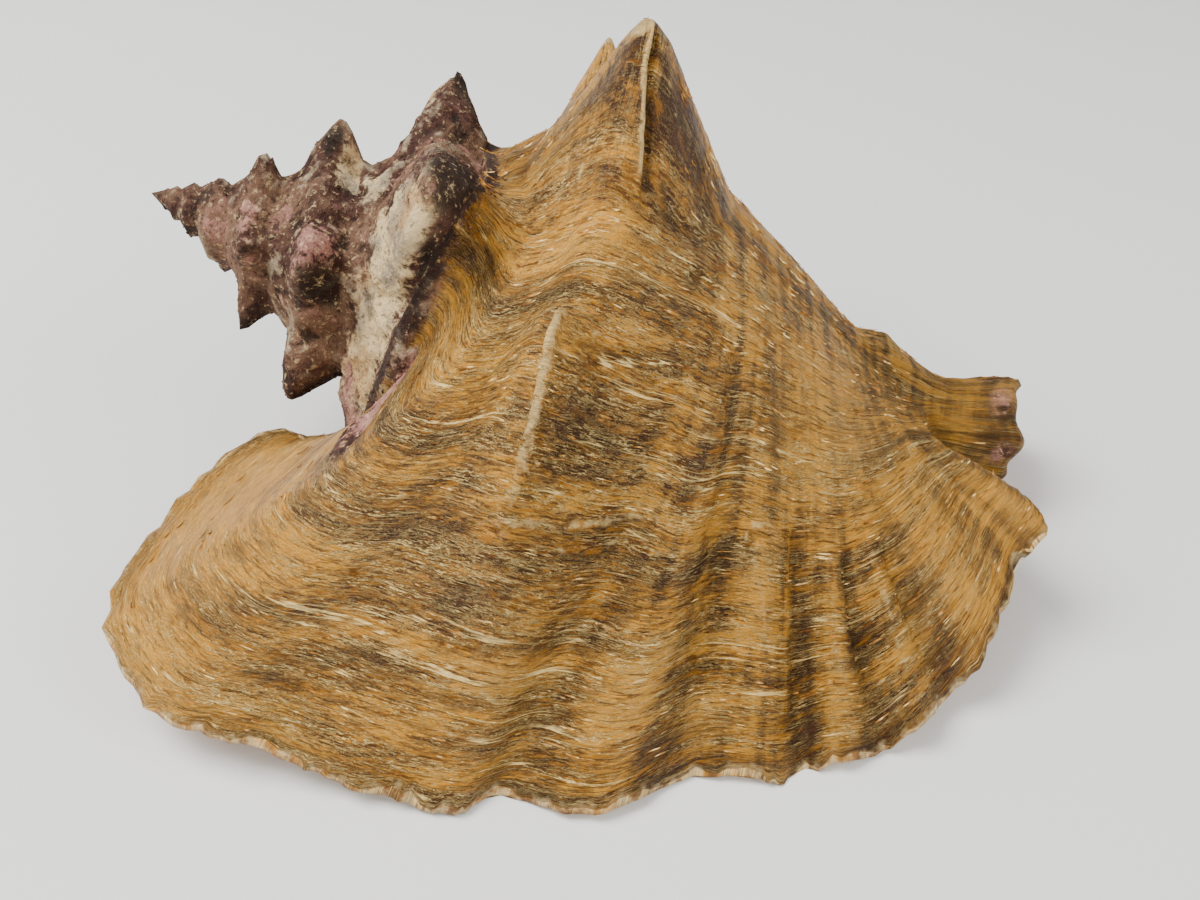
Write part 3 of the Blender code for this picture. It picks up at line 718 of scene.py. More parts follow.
class Row:
    """One row of the skin: its corners' numbers, their shares of the row, and their growth map."""

    def __init__(self, corners, shares, growth_map):
        self.corners = corners
        self.shares = np.asarray(shares, float)
        self.growth_map = growth_map

    def part(self, start, end=None):
        """The row from one corner to another, with its shares spread anew over 0 to 1."""
        shares = self.shares[start:end]
        spread = (shares - shares[0]) / (shares[-1] - shares[0])
        return Row(self.corners[start:end], spread, self.growth_map[start:end])


class Skin:
    """Corners, masks and faces of the one closed skin, joined row by row."""

    def __init__(self):
        self.corners = []
        self.masks = {name: [] for name in MASKS}
        self.faces = []
        self.maps = []
        self.ways = []

    def add(self, points, **masks):
        """New corners at the points; their numbers."""
        first = len(self.corners)
        points = np.asarray(points, float)
        self.corners.extend(points)
        # A lone corner has no row, so its way is along the axis
        self.ways.extend(unit(np.gradient(points, axis=0)) if len(points) > 1 else [APEX_TIP])
        for name, values in self.masks.items():
            values.extend(np.broadcast_to(masks.get(name, 0.0), len(points)))
        return list(range(first, len(self.corners)))

    def join(self, first, second):
        """Faces between two rows, matched by their shares; the rows may share corners."""
        i = j = 0
        a, b = first.shares, second.shares
        while i < len(a) - 1 or j < len(b) - 1:
            next_i = a[i + 1] if i < len(a) - 1 else 2.0
            next_j = b[j + 1] if j < len(b) - 1 else 2.0
            corners = [(first.corners[i], first.growth_map[i]), (second.corners[j], second.growth_map[j])]
            if next_j <= next_i + 1e-4:
                j += 1
                corners.append((second.corners[j], second.growth_map[j]))
            if next_i <= next_j + 1e-4 and next_i < 2.0:
                i += 1
                corners.append((first.corners[i], first.growth_map[i]))
            seen = {}
            for number, place in corners:
                seen.setdefault(number, place)
            if len(seen) > 2:
                self.faces.append(list(seen))
                self.maps.extend(seen.values())


def turn_map(angle):
    """The growth map's second value: centimetres grown since the start."""
    return MAP_SPEED * 360.0 / math.log(WHORL_GROWTH) * growth(angle)


def growth_map(points, shares, angle, shift=0.0):
    """Each corner's place on both maps: centimetres along the row and grown, then share and turn."""
    along = np.concatenate([[0.0], np.cumsum(np.linalg.norm(np.diff(points, axis=0), axis=1))]) * 100
    grown = np.full(len(points), turn_map(angle) + shift)
    return [(u, v, share, angle / 100.0) for u, v, share in zip(along, grown, shares)]


def along_lines(angles, shares, lines):
    """How much of the lines' heights each place of the last whorl has; a line fades at its ends."""
    turns, places = np.meshgrid(np.asarray(angles) * SEAM_DEGREE, shares * SEAM_ROW_LENGTH, indexing="ij")
    total = np.zeros_like(turns)
    for line, width, height in lines:
        line = np.array(line) * (SEAM_DEGREE, SEAM_ROW_LENGTH)
        nearest = np.full_like(turns, 1e9)
        taper = np.zeros_like(turns)
        for k, (start, end) in enumerate(zip(line, line[1:])):
            way = end - start
            t = ((turns - start[0]) * way[0] + (places - start[1]) * way[1]) / (way @ way)
            t = np.clip(t, 0, 1)
            away = np.hypot(turns - start[0] - t * way[0], places - start[1] - t * way[1])
            taper = np.where(away < nearest, (k + t) / (len(line) - 1), taper)
            nearest = np.minimum(nearest, away)
        rise, start_share, fall = LINE_FADE
        faded = ease(taper * rise + start_share) * ease((1 - taper) * fall)
        total += height * np.exp(-(nearest / width) ** 2) * faded
    return total


def worn(rows, shares):
    """Rows of the lip with the fold beside its longest rib rounded off."""
    kernel = np.hanning(WORN_COLUMNS + 2) / np.hanning(WORN_COLUMNS + 2).sum()
    rounded = np.apply_along_axis(np.convolve, 1, rows, kernel, "same")
    near = np.exp(-((shares - WORN_FOLD) / WORN_REACH) ** 4)[None, :, None]
    return rows + (rounded - rows) * near


def chipped(rows, angles):
    """Rows of the lip with its edge broken back and forth, most at the edge itself."""
    rows = rows.copy()
    edge, before = rows[-1], rows[-2]
    along = np.concatenate([[0.0], np.cumsum(np.linalg.norm(np.diff(edge, axis=0), axis=1))])
    random = np.random.default_rng(CHIP_SEED)
    knots = np.arange(0.0, along[-1] + CHIP_STEP, CHIP_STEP)
    broad = np.interp(along, knots, random.uniform(-1, 1, len(knots)))
    fine = np.interp(along, np.linspace(0, along[-1], 4 * len(knots)), random.uniform(-1, 1, 4 * len(knots)))
    sag = np.interp(along, knots, random.uniform(-1, 1, len(knots)))
    faded = ease(along / CHIPS_FADE[0]) * ease((along[-1] - along) / CHIPS_FADE[1])
    wander = (broad * BROAD_CHIPS + fine * FINE_CHIPS) * CHIP_DEPTH * faded
    way = unit(edge - before)
    normal = outward(rows)[-1]
    for i, angle in enumerate(angles):
        share = np.clip(1 - (MOUTH_ANGLE - angle) / CHIP_REACH, 0, 1) ** 2
        rows[i] += (way * wander[:, None] + normal * (sag * CHIP_DEPTH * CHIP_SAG)[:, None]) * share
    return rows


def marked(name, angle, shares):
    """How strongly the marks of one mask cover a row."""
    strength = np.zeros(len(shares))
    for turn, share, turn_reach, share_reach, height in MARKS[name]:
        far = ((angle - turn) / turn_reach) ** 2 + ((shares - share) / share_reach) ** 2
        strength = np.maximum(strength, height * np.exp(-far))
    return strength


def row_masks(angle, shares, points, free):
    """Masks of one row of the last whorl's outside; free is the lip's free edge."""
    from_edge = np.linalg.norm(points - free, axis=1)
    rim = np.clip(1 - from_edge / BARE_EDGE, 0, 1) if angle > EDGE_FROM else np.zeros(len(points))
    along = np.concatenate([[0.0], np.cumsum(np.linalg.norm(np.diff(points, axis=0), axis=1))])
    suture = np.clip(1 - along / SUTURE_CRUST, 0, 1)
    off = np.abs(shares - np.interp(angle, *zip(*KEEL_CREST))) * SEAM_ROW_LENGTH
    crest = np.exp(-(off / CREST_WIDTH) ** 2) * np.interp(angle, *zip(*CREST_FADE))
    along_axis = section(angle, shares)[:, 0]
    for turn, _, _, shift in SPINES:
        if turn in WHITE_TIPS:
            side = math.radians(angle - turn) * SHOULDER[1]
            far = np.hypot(side, along_axis - SHOULDER[0] * growth(turn) - shift) / TIP_REACH
            crest = np.maximum(crest, np.clip(TIP_STRENGTH - far, 0, 1))
    marks = {name: marked(name, angle, shares) for name in WHORL_MARKS}
    return {
        "skin": 1.0 - marked("crust", angle, shares), "rim": rim, "suture": suture, "crest": crest,
        "relief": ease(along / RELIEF_FROM_SUTURE), "row_place": along * 100, "turn_place": turn_map(angle),
        # The flutes' heights, for painted light on the ribs and painted shade in the grooves
        "flute": keel_and_flutes(angle, shares)[1] / FLUTE_HEIGHT, **marks,
    }


def grow_skin():
    """The whole shell as one closed skin: spire, last whorl, lip, pocket and canal."""
    skin = Skin()
    last_turn = turn_steps()
    turn = len(last_turn) - 1
    angles = [last_turn[0] - 360.0 * (WHORLS - 1)]
    for whorl in range(WHORLS):
        angles += [angle - 360.0 * (WHORLS - 1 - whorl) for angle in last_turn[1:]]
    parting = len(angles) - 1 - turn

    # Spire: each row ends on the corner that the whorl after it starts from
    spines = all_spines()
    apex = skin.add([APEX_TIP], relief=APEX_RELIEF)[0]
    rows = []
    for i in range(parting):
        columns = max(LEAST_COLUMNS, round(SPIRE_COLUMNS * growth(angles[i] + SPIRE_COLUMNS_LAG)))
        shares = np.linspace(0.0, 1.0, columns) * cover_share(angles[i])
        points = whorl_row(angles[i], shares, spines)
        start = apex if i < turn else rows[i - turn].corners[-1]
        places = growth_map(points, shares, angles[i])
        marks = {name: marked(name, angles[i], shares)[1:] for name in SPIRE_MARKS}
        relief = min(1.0, growth(angles[i]) * SPIRE_RELIEF)
        numbers = skin.add(points[1:], relief=relief, turn_place=turn_map(angles[i]), **marks)
        rows.append(Row([start] + numbers, np.linspace(0, 1, columns), places))
        if i:
            skin.join(rows[i - 1], rows[i])

    # Last whorl and lip, from the row where the spire's whorl and the free one part
    joint = round(SEEN_COLUMNS * COVER_COLUMNS)
    free = crowded(LIP_COVER_SHARE, 1.0, SEEN_COLUMNS - joint)
    shares = np.concatenate([np.linspace(0.0, LIP_COVER_SHARE, joint + 1), free[1:]])
    body = angles[parting:]
    outer, inner = (worn(rows, shares) for rows in lip_walls(body, shares))
    outer += outward(outer) * along_lines(body, shares, SEAMS)[:, :, None]
    cream = np.clip(along_lines(body, shares, CREAM_LINES), 0, 1)
    outer = chipped(outer, body)
    full = []
    for i, angle in enumerate(body):
        points = clear_of_spire(outer[i], angle, OUTER_GAP) if i else outer[i]
        below = rows[parting + i - turn].corners[-1] if i < turn else full[0].corners[joint]
        masks = row_masks(angle, shares, points, outer[-1])
        masks["crest"] = np.maximum(masks["crest"], cream[i])
        masks = {name: np.broadcast_to(value, len(points))[1:] for name, value in masks.items()}
        numbers = skin.add(points[1:], **masks)
        full.append(Row([below] + numbers, shares, growth_map(points, shares, angle)))
        if i:
            skin.join(full[i - 1], full[i])
    skin.join(rows[-1], full[0].part(0, joint + 1))

    # Columella side of the pocket: the earlier whorl, inside the mouth
    back = next(i for i, angle in enumerate(body) if angle >= POCKET_ANGLE - 1e-6)
    stride = max(1, round(INSIDE_STEP / SEEN_STEP))
    picked = list(range(back, turn, stride)) + [turn]
    coarse = np.linspace(0.0, 1.0, INSIDE_COLUMNS)
    core = []
    for i in picked[:-1]:
        angle = body[i] - 360.0
        tuck = SUTURE_STEP * float(ease((body[0] - angle) / TUCK_TURN))
        start = cover_share(angle) + tuck
        points = whorl_row(angle, start + (1 - start) * coarse, mouth_knobs())
        numbers = skin.add(points, inside=1.0, relief=0.0)
        core.append(Row(numbers, coarse, growth_map(points, coarse, body[i], MAP_INSIDE)))
    core.append(full[0].part(joint))
    for one, other in zip(core, core[1:]):
        skin.join(one, other)

    # Inner wall of the last whorl and lip, from the pocket's back to the rim
    inner_shares = np.interp(np.linspace(0, 1, INSIDE_COLUMNS), np.linspace(0, 1, len(shares)), shares)
    walls = []
    for i, behind in zip(picked, core):
        row = spline(shares, inner[i], inner_shares)
        start = np.array(skin.corners[behind.corners[0]])
        near = np.clip(1 - inner_shares / SUTURE_FADE, 0, 1)[:, None] ** 2
        row = row + (start - row[0]) * near
        skipped = int(np.searchsorted(inner_shares, STRAIGHT_TO))
        row = clear_of_spire(row, body[i], INNER_GAP)
        from_edge = np.linalg.norm(row - spline(shares, outer[-1], inner_shares), axis=1)
        rim = np.clip(1 - from_edge / PALE_GLAZE, 0, 1)
        numbers = skin.add(row[skipped:], inside=1.0, rim=rim[skipped:] if body[i] > EDGE_FROM else 0.0)
        places = growth_map(row, inner_shares, body[i], MAP_INSIDE)
        walls.append(Row([behind.corners[0]] + numbers, np.concatenate([[0.0], inner_shares[skipped:]]),
                         places[:1] + places[skipped:]))
    for one, other in zip(walls, walls[1:]):
        skin.join(other, one)
    skin.join(walls[0], core[0])
    close_rims(skin, full, walls, core, back, picked)
    return skin


def close_rims(skin, full, walls, core, back, picked):
    """The rounded rim along the mouth and round the canal's end, and the dish in that end."""
    outside, inside, before = full[-1], walls[-1], full[-2]
    wall = np.array([skin.corners[corner] for corner in inside.corners])
    opposite = spline(inside.shares, wall, outside.shares)
    mouth = rim_row(skin, outside.corners[1:], opposite[1:], before.corners[1:])
    rim = Row([outside.corners[0]] + mouth, outside.shares, outside.growth_map)
    skin.join(outside, rim)
    skin.join(rim, inside)
    shown = full[back:]
    ends = np.linspace(0, 1, len(shown))
    outside = Row([row.corners[-1] for row in shown], ends, [row.growth_map[-1] for row in shown])
    picks = (np.array(picked) - back) / (len(shown) - 1)
    inside = Row([row.corners[-1] for row in walls], picks, [row.growth_map[-1] for row in walls])
    wall = np.array([skin.corners[corner] for corner in inside.corners])
    opposite = spline(inside.shares, wall, outside.shares)
    tip = rim_row(skin, outside.corners[:-1], opposite[:-1], [row.corners[-2] for row in shown[:-1]])
    end = Row(tip + [mouth[-1]], ends, outside.growth_map)
    skin.join(outside, end)
    skin.join(end, inside)
    ring = [row.corners[-1] for row in core + full[1:back + 1]] + [tip[0], inside.corners[0]]
    hub = skin.add([CANAL_DISH], inside=0.6)[0]
    for one, other in zip(ring, ring[1:] + ring[:1]):
        skin.faces.append([one, other, hub])
        skin.maps.extend([outside.growth_map[0]] * 3)


def rim_row(skin, outside, opposite, before):
    """Corners of the rounded edge between a row and the points across the wall, past the row before."""
    points = []
    for corner, across, behind in zip(outside, opposite, before):
        a, c = (np.array(skin.corners[number]) for number in (corner, behind))
        points.append((a + across) / 2 + unit(a - c) * np.linalg.norm(a - across) * RIM_ROUND)
    return skin.add(points, skin=0.6, rim=1.0, relief=0.2)


def make_mesh(name, skin):
    """A mesh of the skin at rest, with its masks and its growth map."""
    mesh = bpy.data.meshes.new(name)
    mesh.from_pydata(at_rest(skin.corners).tolist(), [], skin.faces)
    for mask, values in skin.masks.items():
        attribute = mesh.attributes.new(mask, "FLOAT", "POINT")
        attribute.data.foreach_set("value", np.asarray(values, np.float32))
    way = mesh.attributes.new("row_way", "FLOAT_VECTOR", "POINT")
    way.data.foreach_set("vector", np.ascontiguousarray(np.array(skin.ways) @ AXES, np.float32).ravel())
    maps = np.asarray(skin.maps, np.float32)
    for number, layer in enumerate(("growth_map", "place_map")):
        uv = mesh.uv_layers.new(name=layer)
        uv.data.foreach_set("uv", np.ascontiguousarray(maps[:, 2 * number:2 * number + 2]).ravel())
    return mesh


def paint(red, green, blue):
    """A colour given as it looks on a screen, from 0 to 255, as the linear colour that nodes use."""
    linear = [((c / 255 + 0.055) / 1.055) ** 2.4 if c > 10 else c / 255 / 12.92 for c in (red, green, blue)]
    return (*linear, 1.0)


def put(tree, kind, inputs=None, **settings):
    """A new node with its settings and inputs; an input is a value or another node's output."""
    node = tree.nodes.new(kind)
    for name, value in settings.items():
        setattr(node, name, value)
    for key, value in (inputs or {}).items():
        if isinstance(value, bpy.types.NodeSocket):
            tree.links.new(value, node.inputs[key])
        else:
            node.inputs[key].default_value = value
    return node


def calc(tree, operation, *values):
    """The output of a Math node."""
    kind = "ShaderNodeMath"
    return put(tree, kind, dict(enumerate(values)), operation=operation).outputs[0]


def times(tree, one, other):
    """The product of two values."""
    return calc(tree, "MULTIPLY", one, other)


def stepped(tree, value, low, high):
    """A value's smooth rise from 0 at low to 1 at high."""
    inputs = {"Value": value, "From Min": low, "From Max": high}
    node = put(tree, "ShaderNodeMapRange", inputs, interpolation_type="SMOOTHSTEP", clamp=True)
    return node.outputs["Result"]


def stretched(tree, vector, scale, shift=(0.0, 0.0, 0.0)):
    """A vector stretched along each of its axes, and then moved."""
    scaled = put(tree, "ShaderNodeVectorMath", {0: vector, 1: scale}, operation="MULTIPLY").outputs[0]
    return put(tree, "ShaderNodeVectorMath", {0: scaled, 1: shift}, operation="ADD").outputs[0]


def noise(tree, vector, detail=2.0, roughness=0.55):
    """The grey output of a noise of size 1 at the vector."""
    inputs = {"Vector": vector, "Scale": 1.0, "Detail": detail, "Roughness": roughness}
    return put(tree, "ShaderNodeTexNoise", inputs).outputs["Fac"]


def blended(tree, share, under, over):
    """A colour mixed from the one under to the one over by the share."""
    node = put(tree, "ShaderNodeMix", {"Factor": share}, data_type="RGBA")
    for key, value in (("A", under), ("B", over)):
        socket = next(s for s in node.inputs if s.name == key and s.type == "RGBA")
        if isinstance(value, bpy.types.NodeSocket):
            tree.links.new(value, socket)
        else:
            socket.default_value = value
    return next(s for s in node.outputs if s.type == "RGBA")


def mixed(tree, share, under, over):
    """A value mixed from the one under to the one over by the share."""
    return put(tree, "ShaderNodeMix", {"Factor": share, 2: under, 3: over}).outputs[0]


def coated(tree, colour, mask, strength, over):
    """A colour with another one laid over it where the mask is, as strongly as given."""
    return blended(tree, times(tree, mask, strength), colour, over)


def new_group(name, kind, inputs, outputs):
    """A node group with named inputs and outputs, and the nodes at its two ends."""
    group = bpy.data.node_groups.new(name, kind)
    for title, socket, default in inputs:
        made = group.interface.new_socket(title, in_out="INPUT", socket_type=socket)
        if default is not None:
            made.default_value = default
    for title, socket in outputs:
        group.interface.new_socket(title, in_out="OUTPUT", socket_type=socket)
    start = group.nodes.new("NodeGroupInput")
    end = group.nodes.new("NodeGroupOutput")
    return group, start, end


def colour_sockets(colours):
    """A group's inputs for its colours, with those colours as their defaults."""
    return tuple((title, "NodeSocketColor", paint(*colour)) for title, colour in colours.items())


def placed_group(tree, name, inputs):
    """A group's node in a tree, with its inputs set."""
    return put(tree, "ShaderNodeGroup", inputs, node_tree=bpy.data.node_groups[name])


def masked(tree, name):
    """A mask of the piece."""
    return put(tree, "ShaderNodeAttribute", attribute_name=name).outputs["Fac"]


def crust_masks(tree):
    """The crust's own inputs, from the piece's masks."""
    masks = {"Paleness": "pale", "Pinkness": "pink", "Blackness": "black"}
    return {title: masked(tree, name) for title, name in masks.items()}


def mapped(tree, layer):
    """A map of the piece."""
    return put(tree, "ShaderNodeUVMap", uv_map=layer).outputs["UV"]


def new_material(name, roughness):
    """A material with its Principled shader, and its tree."""
    material = bpy.data.materials.new(name)
    material.use_nodes = True
    shader = material.node_tree.nodes["Principled BSDF"]
    shader.inputs["Roughness"].default_value = roughness
    shader.inputs["Specular IOR Level"].default_value = SPECULAR
    return material, material.node_tree, shader


def worked(piece, group, inputs):
    """Turns the piece into what a tree of geometry nodes makes of it, as a plain mesh."""
    identifiers = {item.name: item.identifier for item in group.interface.items_tree
                   if item.item_type == "SOCKET" and item.in_out == "INPUT"}
    modifier = piece.modifiers.new(group.name, "NODES")
    modifier.node_group = group
    for title, value in inputs.items():
        modifier[identifiers[title]] = value
    bpy.context.view_layer.update()
    evaluated = piece.evaluated_get(bpy.context.evaluated_depsgraph_get())
    mesh = bpy.data.meshes.new_from_object(evaluated)
    mesh.name = piece.name
    piece.modifiers.remove(modifier)
    piece.data = mesh


def dressed(piece):
    """Puts the piece on the shell's body."""
    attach(piece, "root")


def growth_relief():
    """Geometry nodes that raise the skin's growth lines and steps, and the spire's crust."""
    group, start, end = new_group("growth_relief", "GeometryNodeTree", (
        ("Geometry", "NodeSocketGeometry", None),
        ("Line Height", "NodeSocketFloat", LINE_HEIGHT),
        ("Step Height", "NodeSocketFloat", STEP_HEIGHT),
        ("Crust Height", "NodeSocketFloat", CRUST_HEIGHT),
        ("Lines per Centimetre", "NodeSocketFloat", LINES_PER_CENTIMETRE),
        ("Seed", "NodeSocketFloat", RELIEF_SEED),
        ("Material", "NodeSocketMaterial", None),
    ), (("Geometry", "NodeSocketGeometry"),))

    # Growth lines, broader steps and folds across them, in centimetres along the row and grown
    given = start.outputs
    row, turn = field(group, "row_place"), field(group, "turn_place")
    place = put(group, "ShaderNodeCombineXYZ", {0: row, 1: turn, 2: given["Seed"]}).outputs[0]
    wander = noise(group, stretched(group, place, (0.7, 0.5, 1.0)), 2.0)
    bent = calc(group, "MULTIPLY_ADD", calc(group, "SUBTRACT", wander, 0.5), 0.9, turn)
    lines_at = put(group, "ShaderNodeCombineXYZ", {
        0: times(group, row, 0.55), 1: times(group, bent, given["Lines per Centimetre"]),
        2: given["Seed"]}).outputs[0]
    lines = calc(group, "SUBTRACT", noise(group, lines_at, 1.0), 0.5)
    steps_at = put(group, "ShaderNodeCombineXYZ", {
        0: times(group, row, 0.12), 1: times(group, bent, 1.15), 2: given["Seed"]}).outputs[0]
    steps = calc(group, "SUBTRACT", noise(group, steps_at, 1.0), 0.5)
    folds_at = stretched(group, place, (1.5, 0.22, 1.0), (3.0, 0.0, 7.0))
    folds = calc(group, "SUBTRACT", noise(group, folds_at, 1.0), 0.5)
    raised = times(group, lines, given["Line Height"])
    broad_steps = calc(group, "ADD", steps, times(group, folds, 0.7))
    raised = calc(group, "MULTIPLY_ADD", broad_steps, given["Step Height"], raised)
    raised = times(group, raised, times(group, field(group, "skin"), 2.6))

    # Lumps of the crust, on the spire and thinner along the suture
    spot = group.nodes.new("GeometryNodeInputPosition").outputs[0]
    lumps = noise(group, stretched(group, spot, (190.0,) * 3), 4.0, 0.62)
    broad = noise(group, stretched(group, spot, (75.0,) * 3, (5.0, 1.0, 2.0)), 1.0)
    crust = calc(group, "ADD", times(group, lumps, 0.65), times(group, broad, 0.6))
    crust = calc(group, "SUBTRACT", crust, 0.62)
    uncrusted = calc(group, "MAXIMUM", field(group, "skin"), field(group, "inside"))
    crusted = calc(group, "SUBTRACT", 1.0, uncrusted)
    crusted = calc(group, "MAXIMUM", crusted, times(group, field(group, "suture"), 0.45))
    crust = times(group, times(group, crust, given["Crust Height"]), crusted)
    height = times(group, calc(group, "MULTIPLY_ADD", crust, 2.6, raised), field(group, "relief"))
    height = times(group, height, stepped(group, height_of(group, spot), NEAR_TABLE, CLEAR_OF_TABLE))
    # Both are raised along the surface's normal
    normal = group.nodes.new("GeometryNodeInputNormal").outputs[0]
    offset = put(group, "ShaderNodeVectorMath", {0: normal}, operation="SCALE")
    group.links.new(height, offset.inputs["Scale"])
    moved = group.nodes.new("GeometryNodeSetPosition")
    group.links.new(given["Geometry"], moved.inputs["Geometry"])
    group.links.new(offset.outputs[0], moved.inputs["Offset"])
    end_with_material(group, moved.outputs["Geometry"], given["Material"], end)
    return group


def end_with_material(group, geometry, material, end):
    """Ends a tree in Realize Instances and Set Material."""
    real = group.nodes.new("GeometryNodeRealizeInstances")
    group.links.new(geometry, real.inputs[0])
    coat = group.nodes.new("GeometryNodeSetMaterial")
    group.links.new(real.outputs[0], coat.inputs["Geometry"])
    group.links.new(material, coat.inputs["Material"])
    group.links.new(coat.outputs[0], end.inputs[0])


def scattered(name, chosen, shape, least, turn, seed):
    """Geometry nodes that scatter small shapes over the chosen part of the shell's own faces."""
    group, start, end = new_group(name, "GeometryNodeTree", (
        ("Geometry", "NodeSocketGeometry", None),
        ("Density", "NodeSocketFloat", 0.0),
        ("Least Size", "NodeSocketVector", least),
        ("Greatest Size", "NodeSocketVector", least),
        ("Turn", "NodeSocketFloat", turn),
        ("Seed", "NodeSocketInt", seed),
        ("Material", "NodeSocketMaterial", None),
    ), (("Geometry", "NodeSocketGeometry"),))
    given = start.outputs
    spread = put(group, "GeometryNodeDistributePointsOnFaces", {
        "Mesh": given["Geometry"], "Selection": chosen(group), "Density": given["Density"],
        "Seed": given["Seed"]})
    upright = put(group, "FunctionNodeAlignRotationToVector", {"Vector": spread.outputs["Normal"]}, axis="Z")
    way = put(group, "GeometryNodeInputNamedAttribute", {"Name": "row_way"}, data_type="FLOAT_VECTOR")
    laid = put(group, "FunctionNodeAlignRotationToVector", {
        "Rotation": upright.outputs[0], "Vector": way.outputs[0]}, axis="X", pivot_axis="Z")
    back = put(group, "ShaderNodeCombineXYZ", {2: times(group, given["Turn"], -1.0)}).outputs[0]
    forth = put(group, "ShaderNodeCombineXYZ", {2: given["Turn"]}).outputs[0]
    swing = put(group, "FunctionNodeRandomValue", {
        0: back, 1: forth, "Seed": given["Seed"]}, data_type="FLOAT_VECTOR")
    turned = put(group, "FunctionNodeRotateRotation", {
        "Rotation": laid.outputs[0], "Rotate By": swing.outputs[0]}, rotation_space="LOCAL")
    size = put(group, "FunctionNodeRandomValue", {
        0: given["Least Size"], 1: given["Greatest Size"], "Seed": given["Seed"]}, data_type="FLOAT_VECTOR")
    placed = put(group, "GeometryNodeInstanceOnPoints", {
        "Points": spread.outputs["Points"], "Instance": shape(group), "Rotation": turned.outputs[0],
        "Scale": size.outputs[0]})
    end_with_material(group, placed.outputs["Instances"], given["Material"], end)
    return group


def field(group, name):
    """A mask of the mesh, in geometry nodes."""
    node = put(group, "GeometryNodeInputNamedAttribute", {"Name": name}, data_type="FLOAT")
    return node.outputs["Attribute"]


def height_of(group, spot):
    """A place's height above the table."""
    return put(group, "ShaderNodeSeparateXYZ", {0: spot}).outputs[2]


def flaky_places(group):
    """Where the skin flakes: outside, away from the smooth parts, in patches."""
    spot = group.nodes.new("GeometryNodeInputPosition").outputs[0]
    patches = noise(group, stretched(group, spot, (90.0,) * 3), 2.0)
    rough = calc(group, "SUBTRACT", patches, times(group, field(group, "smooth"), 0.18))
    rough = calc(group, "SUBTRACT", rough, calc(group, "ADD", field(group, "inside"), field(group, "rim")))
    skin = calc(group, "GREATER_THAN", field(group, "skin"), 0.9)
    skin = times(group, skin, calc(group, "GREATER_THAN", height_of(group, spot), CLEAR_OF_TABLE))
    return times(group, skin, calc(group, "GREATER_THAN", rough, 0.44))


def crusted_places(group):
    """Where the crust has grains: the spire and the suture."""
    bare = calc(group, "ADD", field(group, "skin"), field(group, "inside"))
    bare = calc(group, "SUBTRACT", bare, times(group, field(group, "suture"), 1.6))
    return calc(group, "LESS_THAN", bare, 0.5)


def flake_shape(group):
    """A thin strip of skin, 1 long and 1 wide, arched so that its two ends lift."""
    grid = put(group, "GeometryNodeMeshGrid", {
        "Size X": 1.0, "Size Y": 1.0, "Vertices X": 5, "Vertices Y": 2})
    spot = group.nodes.new("GeometryNodeInputPosition").outputs[0]
    parts = put(group, "ShaderNodeSeparateXYZ", {0: spot}).outputs
    arch = times(group, calc(group, "POWER", calc(group, "ABSOLUTE", parts[0]), 2.0), 4.0)
    slant = calc(group, "ADD", arch, times(group, parts[1], 0.8))
    lift = put(group, "ShaderNodeCombineXYZ", {2: calc(group, "ADD", slant, 0.3)}).outputs[0]
    taper = times(group, times(group, arch, parts[1]), -0.7)
    narrowed = put(group, "ShaderNodeCombineXYZ", {1: taper}).outputs[0]
    moved = put(group, "ShaderNodeVectorMath", {0: lift, 1: narrowed}, operation="ADD").outputs[0]
    strip = put(group, "GeometryNodeSetPosition", {"Geometry": grid.outputs["Mesh"], "Offset": moved})
    return strip.outputs["Geometry"]


def grain_shape(group):
    """A rough grain, 1 across."""
    return put(group, "GeometryNodeMeshIcoSphere", {"Radius": 0.5, "Subdivisions": 1}).outputs["Mesh"]


